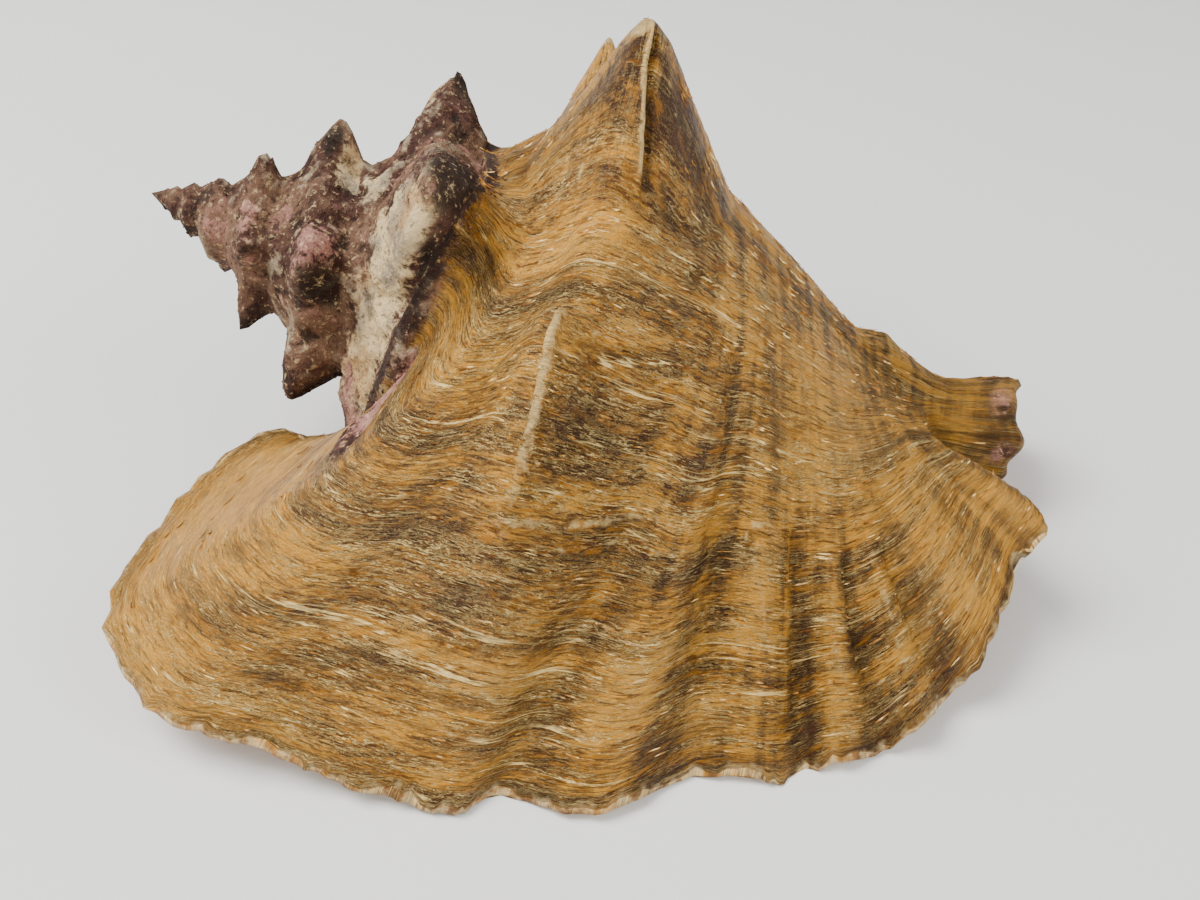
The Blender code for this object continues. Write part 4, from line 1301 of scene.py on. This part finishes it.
def skin_group():
    """Shader group of the grown skin: ochre fibres along the growth lines, with bands and patches."""
    group, start, end = new_group("grown_skin", "ShaderNodeTree", (
        ("Growth Map", "NodeSocketVector", None),
        ("Place Map", "NodeSocketVector", None),
        ("Darkness", "NodeSocketFloat", 0.0),
        ("Gilding", "NodeSocketFloat", 0.0),
        ("Smoothness", "NodeSocketFloat", 0.0),
        ("Flute", "NodeSocketFloat", 0.0),
        ("Fibre", "NodeSocketFloat", 0.0),
    ) + colour_sockets(SKIN_COLOURS), FINISH)
    given = start.outputs
    where = given["Growth Map"]

    def off_middle(value, height):
        """A noise with its middle at 0, as high as given."""
        return times(group, calc(group, "SUBTRACT", value, 0.5), height)

    def contour(value, width):
        """Thin lines where a noise passes its middle."""
        away = calc(group, "ABSOLUTE", calc(group, "SUBTRACT", value, 0.5))
        return stepped(group, away, width, width * 0.25)

    def band(value, low, high):
        """How far a value is on its way from low to high."""
        return stepped(group, value, low, high)

    def layer(mask, strength, colour_name):
        """The colour so far with one of the group's colours laid over it."""
        return coated(group, colour, mask, strength, given[colour_name])

    share = put(group, "ShaderNodeSeparateXYZ", {0: given["Place Map"]}).outputs[0]
    grown = put(group, "ShaderNodeSeparateXYZ", {0: where}).outputs[1]
    across = put(group, "ShaderNodeCombineXYZ", {0: share, 1: grown}).outputs[0]
    wave = noise(group, stretched(group, where, (0.45, 0.35, 0.0)), 1.0)
    crinkle = noise(group, stretched(group, where, (4.5, 2.5, 0.0)), 2.0)
    bend = calc(group, "ADD", off_middle(wave, 0.16), off_middle(crinkle, 0.08))
    bend = put(group, "ShaderNodeCombineXYZ", {1: bend}).outputs[0]
    bent = put(group, "ShaderNodeVectorMath", {0: where, 1: bend}, operation="ADD").outputs[0]
    fine = noise(group, stretched(group, bent, (1.5, 11.0, 0.0)), 4.0, 0.62)
    finer = noise(group, stretched(group, bent, (3.2, 21.0, 0.0), (5.0, 3.0, 0.0)), 3.0, 0.62)
    middle = noise(group, stretched(group, bent, (0.4, 2.6, 0.0), (9.0, 2.0, 0.0)), 3.0)
    broad = noise(group, stretched(group, bent, (0.12, 0.8, 0.0), (1.0, 5.0, 0.0)), 2.0)
    streaks = noise(group, stretched(group, across, (42.0, 0.13, 0.0), (4.0, 8.0, 0.0)), 3.0, 0.6)
    patches = noise(group, stretched(group, where, (0.5, 0.55, 0.0), (2.0, 3.0, 0.0)), 3.0, 0.6)
    fibres = noise(group, stretched(group, across, (150.0, 1.1, 0.0), (5.0, 2.0, 0.0)), 4.0, 0.62)
    grain = noise(group, stretched(group, where, (26.0, 30.0, 0.0)), 2.0, 0.7)
    spots = noise(group, stretched(group, where, (2.0, 2.6, 0.0), (7.0, 7.0, 0.0)), 3.0, 0.65)
    breaks = noise(group, stretched(group, where, (1.3, 2.0, 0.0), (3.0, 9.0, 0.0)), 2.0, 0.6)
    bunches = noise(group, stretched(group, bent, (0.16, 2.0, 0.0), (6.0, 1.0, 0.0)), 2.0, 0.6)
    arrests = noise(group, stretched(group, bent, (0.05, 1.3, 0.0), (2.0, 6.0, 0.0)), 3.0, 0.5)

    # How light the skin is: patches, bands across the growth lines, streaks along them, marks, and painted
    # light on the flutes' ribs with painted shade in their grooves
    banded = calc(group, "MULTIPLY_ADD", band(share, 0.30, 0.44), 1.6, 0.4)
    tone = calc(group, "ADD", off_middle(patches, 1.3), off_middle(broad, 1.2))
    tone = calc(group, "ADD", tone, times(group, off_middle(streaks, 1.0), banded))
    # Painted light on the flutes' ribs and painted shade in their grooves
    tone = calc(group, "MULTIPLY_ADD", given["Flute"], 0.24, tone)
    tone = calc(group, "ADD", tone, off_middle(middle, 0.9))
    tone = calc(group, "ADD", tone, off_middle(finer, 1.2))
    # Darkness darkens the skin's dark patches and paints shade on the keel's right flank, broken up by spots
    torn = calc(group, "ADD", off_middle(spots, 1.0), off_middle(middle, 2.2))
    ragged = calc(group, "MULTIPLY_ADD", torn, given["Darkness"], given["Darkness"])
    tone = calc(group, "MULTIPLY_ADD", ragged, -0.38, tone)
    tone = calc(group, "MULTIPLY_ADD", given["Gilding"], 0.22, tone)
    tone = calc(group, "MULTIPLY_ADD", off_middle(fibres, 2.4), given["Fibre"], tone)
    colour = blended(group, band(tone, -0.34, -0.02), given["Dark"], given["Ochre"])
    colour = blended(group, band(tone, -0.06, 0.30), colour, given["Golden"])
    colour = layer(times(group, band(spots, 0.48, 0.60), band(bunches, 0.54, 0.42)), 0.50, "Orange")
    gilded = calc(group, "MULTIPLY_ADD", off_middle(middle, 1.2), given["Gilding"], given["Gilding"])
    colour = layer(gilded, 0.62, "Gold")
    clean_fibre = calc(group, "SUBTRACT", given["Fibre"], given["Darkness"])
    colour = layer(times(group, contour(fibres, 0.022), clean_fibre), 0.50, "Cream")
    greyed = times(group, times(group, band(spots, 0.48, 0.36), band(streaks, 0.54, 0.42)), 0.45)
    colour = layer(calc(group, "MAXIMUM", greyed, band(ragged, 0.45, 1.10)), 0.6, "Grey")

    # Painted shade in the crevices between the growth lines, and the pale threads along them
    crackled = calc(group, "MULTIPLY_ADD", given["Smoothness"], -0.65, 1.0)
    # Painted shade in the crevices, where the fine relief is low
    colour = layer(times(group, band(fine, 0.50, 0.34), crackled), 0.84, "Dark")
    threads = times(group, contour(fine, 0.038), band(breaks, 0.40, 0.56))
    thin = times(group, contour(finer, 0.042), band(breaks, 0.60, 0.44))
    threads = calc(group, "MAXIMUM", threads, times(group, thin, 0.7))
    bunched = calc(group, "MULTIPLY_ADD", band(bunches, 0.44, 0.56), 0.65, 0.35)
    ridges = times(group, contour(arrests, 0.0065), band(breaks, 0.36, 0.52))
    threads = calc(group, "MAXIMUM", times(group, threads, bunched), ridges)
    colour = layer(times(group, times(group, threads, crackled), band(tone, -0.95, 0.05)), 0.92, "Cream")
    colour = layer(band(grain, 0.40, 0.28), 0.55, "Dark")
    colour = layer(band(grain, 0.60, 0.72), 0.50, "Cream")
    group.links.new(colour, end.inputs["Color"])
    rough = put(group, "ShaderNodeMapRange", {"Value": middle, "To Min": 0.28, "To Max": 0.46})
    group.links.new(rough.outputs["Result"], end.inputs["Roughness"])
    height = calc(group, "ADD", times(group, fine, 1.7), times(group, middle, 1.3))
    height = calc(group, "MULTIPLY_ADD", threads, 0.55, times(group, height, crackled))
    height = calc(group, "MULTIPLY_ADD", grain, 0.22, height)
    height = calc(group, "MULTIPLY_ADD", times(group, fibres, given["Fibre"]), 2.0, height)
    group.links.new(height, end.inputs["Height"])
    return group


def crust_group():
    """Shader group of the spire's crust: brown, maroon, pink, cream and black growths."""
    group, start, end = new_group("sea_crust", "ShaderNodeTree", (
        ("Spot", "NodeSocketVector", None),
        ("Paleness", "NodeSocketFloat", 0.0),
        ("Pinkness", "NodeSocketFloat", 0.0),
        ("Blackness", "NodeSocketFloat", 0.0),
    ) + colour_sockets(CRUST_COLOURS), FINISH)
    given = start.outputs
    spot = given["Spot"]
    broad = noise(group, stretched(group, spot, (55.0,) * 3), 4.0, 0.6)
    lumps = noise(group, stretched(group, spot, (190.0,) * 3), 4.0, 0.62)
    tints = noise(group, stretched(group, spot, (80.0,) * 3, (3.0, 1.0, 4.0)), 3.0, 0.6)
    fine = noise(group, stretched(group, spot, (620.0,) * 3, (1.0, 6.0, 2.0)), 4.0, 0.7)
    grain = noise(group, stretched(group, spot, (1600.0,) * 3), 2.0, 0.6)

    def grown(mask, height):
        """A mask with a ragged edge."""
        wander = times(group, calc(group, "SUBTRACT", lumps, 0.5), height)
        wander = calc(group, "MULTIPLY_ADD", calc(group, "SUBTRACT", fine, 0.5), height * 0.6, wander)
        return stepped(group, calc(group, "ADD", mask, wander), 0.32, 0.66)

    def band(value, low, high):
        """How far a value is on its way from low to high."""
        return stepped(group, value, low, high)

    def layer(mask, strength, colour_name):
        """The colour so far with one of the group's colours laid over it."""
        return coated(group, colour, mask, strength, given[colour_name])

    colour = blended(group, band(broad, 0.42, 0.60), given["Maroon"], given["Tan"])
    colour = layer(band(tints, 0.58, 0.70), 0.45, "Pink")
    colour = layer(times(group, band(lumps, 0.52, 0.66), band(tints, 0.60, 0.44)), 0.85, "Grey")
    colour = layer(grown(given["Pinkness"], 1.6), 0.65, "Pink")
    bare = blended(group, band(tints, 0.44, 0.58), given["Cream"], given["Grey"])
    bare = coated(group, bare, band(broad, 0.48, 0.60), 0.65, given["Stain"])
    colour = coated(group, colour, grown(given["Paleness"], 1.3), 0.92, bare)
    colour = layer(grown(given["Blackness"], 1.4), 0.88, "Dark")
    # Painted shade in the crust's pits, where its lumps are low
    pit_shade = times(group, band(lumps, 0.48, 0.36), calc(group, "MULTIPLY_ADD", given["Paleness"], -0.55, 1.0))
    colour = layer(pit_shade, 0.80, "Dark")
    colour = layer(band(fine, 0.55, 0.68), 0.55, "Cream")
    colour = layer(band(fine, 0.46, 0.34), 0.62, "Dark")
    group.links.new(colour, end.inputs["Color"])
    rough = put(group, "ShaderNodeMapRange", {"Value": fine, "To Min": 0.70, "To Max": 0.95})
    group.links.new(rough.outputs["Result"], end.inputs["Roughness"])
    height = calc(group, "ADD", times(group, fine, 1.3), times(group, grain, 0.35))
    height = calc(group, "MULTIPLY_ADD", lumps, 1.5, height)
    group.links.new(height, end.inputs["Height"])
    return group


def shell_material(settings):
    """The shell's own material: grown skin, crusted spire, glazed mouth and pale broken edges."""
    material, tree, shader = new_material("conch_shell", 0.6)
    where, place = mapped(tree, "growth_map"), mapped(tree, "place_map")
    spot = put(tree, "ShaderNodeTexCoord").outputs["Object"]
    skin = placed_group(tree, "grown_skin", {
        "Growth Map": where, "Place Map": place, "Darkness": masked(tree, "dark"),
        "Gilding": masked(tree, "gold"), "Smoothness": masked(tree, "smooth"),
        "Flute": masked(tree, "flute"), "Fibre": masked(tree, "fibre"),
        "Golden": settings.skin_colour, "Dark": settings.band_and_crevice_shade_colour})
    crust = placed_group(tree, "sea_crust", {"Spot": spot, **crust_masks(tree)})
    inside = masked(tree, "inside")
    ragged = calc(tree, "SUBTRACT", noise(tree, stretched(tree, spot, (330.0,) * 3), 3.0, 0.6), 0.5)
    suture = calc(tree, "MULTIPLY_ADD", ragged, 1.1, masked(tree, "suture"))
    off_skin = calc(tree, "SUBTRACT", 1.0, stepped(tree, masked(tree, "skin"), 0.3, 0.7))
    covered = calc(tree, "MAXIMUM", off_skin, stepped(tree, suture, 0.50, 0.66))
    colour = blended(tree, covered, skin.outputs["Color"], crust.outputs["Color"])
    # Painted shade in the crease along the suture
    colour = coated(tree, colour, stepped(tree, suture, 0.50, 0.80), 0.80, paint(*SUTURE_SHADE))
    crest = calc(tree, "MULTIPLY_ADD", ragged, 1.6, masked(tree, "crest"))
    colour = coated(tree, colour, stepped(tree, crest, 0.35, 0.85), 0.72, paint(*CREST_CREAM))
    rim = calc(tree, "MULTIPLY_ADD", ragged, 1.5, masked(tree, "rim"))
    brown, cream = (paint(*colour) for colour in EDGE_COLOURS)
    bare = blended(tree, stepped(tree, ragged, -0.12, 0.14), brown, cream)
    colour = coated(tree, colour, stepped(tree, rim, 0.55, 1.15), 0.60, bare)
    cloudy = noise(tree, stretched(tree, spot, (38.0,) * 3), 2.0)
    glaze = blended(tree, cloudy, settings.mouth_colour, paint(*MOUTH_PEACH))
    glaze = blended(tree, stepped(tree, masked(tree, "rim"), 0.0, 0.9), glaze, paint(*MOUTH_EDGE))
    within = stepped(tree, inside, 0.35, 0.65)
    colour = blended(tree, within, colour, glaze)
    tree.links.new(colour, shader.inputs["Base Color"])
    rough = mixed(tree, covered, skin.outputs["Roughness"], crust.outputs["Roughness"])
    tree.links.new(mixed(tree, within, rough, GLAZE_ROUGHNESS), shader.inputs["Roughness"])
    tree.links.new(times(tree, within, GLAZE_COAT), shader.inputs["Coat Weight"])
    height = mixed(tree, covered, skin.outputs["Height"], crust.outputs["Height"])
    height = times(tree, height, calc(tree, "SUBTRACT", 1.0, within))
    bump = put(tree, "ShaderNodeBump", {"Strength": 1.0, "Distance": BUMP_DEPTH, "Height": height})
    tree.links.new(bump.outputs[0], shader.inputs["Normal"])
    return material


def flake_material():
    """Loose skin: dry, cream to golden brown."""
    material, tree, shader = new_material("loose_skin", 0.6)
    spot = put(tree, "ShaderNodeTexCoord").outputs["Object"]
    tone = noise(tree, stretched(tree, spot, (260.0,) * 3), 2.0, 0.6)
    dark, golden, pale = (paint(*colour) for colour in FLAKE_COLOURS)
    colour = blended(tree, stepped(tree, tone, 0.40, 0.52), dark, golden)
    colour = blended(tree, stepped(tree, tone, 0.52, 0.66), colour, pale)
    tree.links.new(colour, shader.inputs["Base Color"])
    return material


def grain_material():
    """Grains of crust, in the crust's own colours."""
    material, tree, shader = new_material("crust_grains", 0.9)
    spot = put(tree, "ShaderNodeTexCoord").outputs["Object"]
    crust = placed_group(tree, "sea_crust", {"Spot": spot, **crust_masks(tree)})
    tree.links.new(crust.outputs["Color"], shader.inputs["Base Color"])
    return material


def scatter(name, group, material, density, greatest):
    """Makes a piece of the shapes that the group scatters over the grown shell."""
    piece = bpy.data.objects.new(name, bpy.data.objects["grown_shell"].data.copy())
    bpy.context.scene.collection.objects.link(piece)
    worked(piece, group, {"Density": density, "Greatest Size": greatest, "Material": material})
    dressed(piece)


class ConchSettings(bpy.types.PropertyGroup):
    """Colours, sizes of the relief, and the stage's light, which a user would change."""

    skin_colour: bpy.props.FloatVectorProperty(
        name="Skin colour", description="Main golden colour of the skin", subtype="COLOR", size=4,
        min=0.0, max=1.0, default=paint(*SKIN_COLOURS["Golden"]))
    band_and_crevice_shade_colour: bpy.props.FloatVectorProperty(
        # The dark band colour also paints the shade in the crevices between the growth lines
        name="Band colour", description="Colour of the dark bands and cracks", subtype="COLOR", size=4,
        min=0.0, max=1.0, default=paint(*SKIN_COLOURS["Dark"]))
    mouth_colour: bpy.props.FloatVectorProperty(
        name="Mouth colour", description="Deeper colour of the glaze in the mouth", subtype="COLOR", size=4,
        min=0.0, max=1.0, default=paint(*MOUTH_PINK))
    line_height: bpy.props.FloatProperty(
        name="Line height", description="Height of the fine growth lines", default=LINE_HEIGHT, unit="LENGTH")
    step_height: bpy.props.FloatProperty(
        name="Step height", description="Height of the broad growth steps", default=STEP_HEIGHT,
        unit="LENGTH")
    crust_height: bpy.props.FloatProperty(
        name="Crust height", description="Height of the crust on the spire", default=CRUST_HEIGHT,
        unit="LENGTH")
    flake_density: bpy.props.FloatProperty(
        name="Flake density", description="Flakes of loose skin per square metre of flaky skin",
        default=FLAKE_DENSITY)
    flake_length: bpy.props.FloatProperty(
        name="Flake length", description="Length of the longest flakes", default=FLAKE_GREATEST[0],
        unit="LENGTH")
    grain_density: bpy.props.FloatProperty(
        name="Grain density", description="Grains of crust per square metre of crust", default=GRAIN_DENSITY)
    grain_size: bpy.props.FloatProperty(
        name="Grain size", description="Length of the largest grains", default=GRAIN_GREATEST, unit="LENGTH")
    light_power: bpy.props.FloatProperty(
        name="Light power", description="Power of the main light", default=LIGHT_POWER, unit="POWER")


class CONCH_OT_shell(bpy.types.Operator):
    """Grow the shell with its relief and finish"""

    bl_idname = "conch.shell"
    bl_label = "Shell"

    def execute(self, context):
        settings = context.scene.conch
        skin_group()
        crust_group()
        piece = bpy.data.objects.new("grown_shell", make_mesh("grown_shell", grow_skin()))
        context.scene.collection.objects.link(piece)
        face_outwards(piece.data)
        worked(piece, growth_relief(), {
            "Line Height": settings.line_height, "Step Height": settings.step_height,
            "Crust Height": settings.crust_height, "Material": shell_material(settings)})
        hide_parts("shell")
        dressed(piece)
        return {"FINISHED"}


class CONCH_OT_flakes(bpy.types.Operator):
    """Scatter loose flakes of skin along the growth lines"""

    bl_idname = "conch.flakes"
    bl_label = "Flakes"

    def execute(self, context):
        settings = context.scene.conch
        group = scattered("flake_scatter", flaky_places, flake_shape, FLAKE_LEAST, FLAKE_TURN, FLAKE_SEED)
        greatest = (settings.flake_length, *FLAKE_GREATEST[1:])
        scatter("skin_flakes", group, flake_material(), settings.flake_density, greatest)
        return {"FINISHED"}


class CONCH_OT_grains(bpy.types.Operator):
    """Scatter grains of crust over the spire and the suture"""

    bl_idname = "conch.grains"
    bl_label = "Grains"

    def execute(self, context):
        settings = context.scene.conch
        group = scattered("grain_scatter", crusted_places, grain_shape, GRAIN_LEAST, GRAIN_TURN, GRAIN_SEED)
        size = settings.grain_size
        greatest = (size, size * GRAIN_WIDTH, size * GRAIN_HEIGHT)
        scatter("spire_grains", group, grain_material(), settings.grain_density, greatest)
        return {"FINISHED"}


def face_outwards(mesh):
    """Turns the closed mesh's faces outwards and shades them smooth."""
    grid = bmesh.new()
    grid.from_mesh(mesh)
    bmesh.ops.recalc_face_normals(grid, faces=grid.faces)
    grid.to_mesh(mesh)
    grid.free()
    mesh.shade_smooth()


class CONCH_OT_stage(bpy.types.Operator):
    """Put the pale floor, the lights and the camera round the shell"""

    bl_idname = "conch.stage"
    bl_label = "Stage"

    def execute(self, context):
        scene = context.scene
        floor = bpy.data.meshes.new("floor")
        corners = [(-1, -1), (1, -1), (1, 1), (-1, 1)]
        floor.from_pydata([(x * FLOOR_HALF, y * FLOOR_HALF, 0) for x, y in corners], [], [(0, 1, 2, 3)])
        material, tree, shader = new_material("pale_floor", 0.55)
        spot = put(tree, "ShaderNodeTexCoord").outputs["Object"]
        cloudy = noise(tree, stretched(tree, spot, (2.5,) * 3), 2.0)
        duller, brighter = (paint(*colour) for colour in FLOOR_COLOURS)
        tree.links.new(blended(tree, cloudy, duller, brighter), shader.inputs["Base Color"])
        floor.materials.append(material)
        ground = bpy.data.objects.new("floor", floor)
        scene.collection.objects.link(ground)
        for name, size, share, place in LIGHTS:
            light = bpy.data.lights.new(name, "AREA")
            light.energy = scene.conch.light_power * share
            light.size = size
            lamp = bpy.data.objects.new(name, light)
            lamp.location = place
            lamp.rotation_euler = (Vector(LIGHTS_AIM) - Vector(place)).to_track_quat("-Z", "Y").to_euler()
            scene.collection.objects.link(lamp)
        world = bpy.data.worlds.new("studio")
        world.use_nodes = True
        glow = world.node_tree.nodes["Background"]
        glow.inputs["Color"].default_value = paint(*WORLD_COLOUR)
        glow.inputs["Strength"].default_value = WORLD_STRENGTH
        scene.world = world
        camera = bpy.data.cameras.new("camera")
        camera.lens = CAMERA_LENS
        camera.sensor_width = 36.0
        camera.clip_start = 0.01
        eye = bpy.data.objects.new("camera", camera)
        eye.location = CAMERA_AT
        eye.rotation_euler = Vector(CAMERA_WAY).to_track_quat("-Z", "Y").to_euler()
        scene.collection.objects.link(eye)
        scene.camera = eye
        return {"FINISHED"}


OPERATORS = (CONCH_OT_shell, CONCH_OT_flakes, CONCH_OT_grains, CONCH_OT_stage)


class CONCH_PT_panel(bpy.types.Panel):
    """The shell's pieces in the sidebar"""

    bl_idname = "CONCH_PT_panel"
    bl_label = "Queen Conch Shell"
    bl_space_type = "VIEW_3D"
    bl_region_type = "UI"
    bl_category = "Conch"

    def draw(self, context):
        settings = context.scene.conch
        for name in ConchSettings.__annotations__:
            self.layout.prop(settings, name)
        for operator in OPERATORS:
            self.layout.operator(operator.bl_idname)


CLASSES = (ConchSettings, *OPERATORS, CONCH_PT_panel)


def register():
    for kind in CLASSES:
        bpy.utils.register_class(kind)
    bpy.types.Scene.conch = bpy.props.PointerProperty(type=ConchSettings)


def unregister():
    del bpy.types.Scene.conch
    for kind in reversed(CLASSES):
        bpy.utils.unregister_class(kind)


def main():
    register()
    bpy.ops.conch.shell()
    bpy.ops.conch.flakes()
    bpy.ops.conch.grains()
    bpy.ops.conch.stage()


if __name__ == "__main__":
    main()
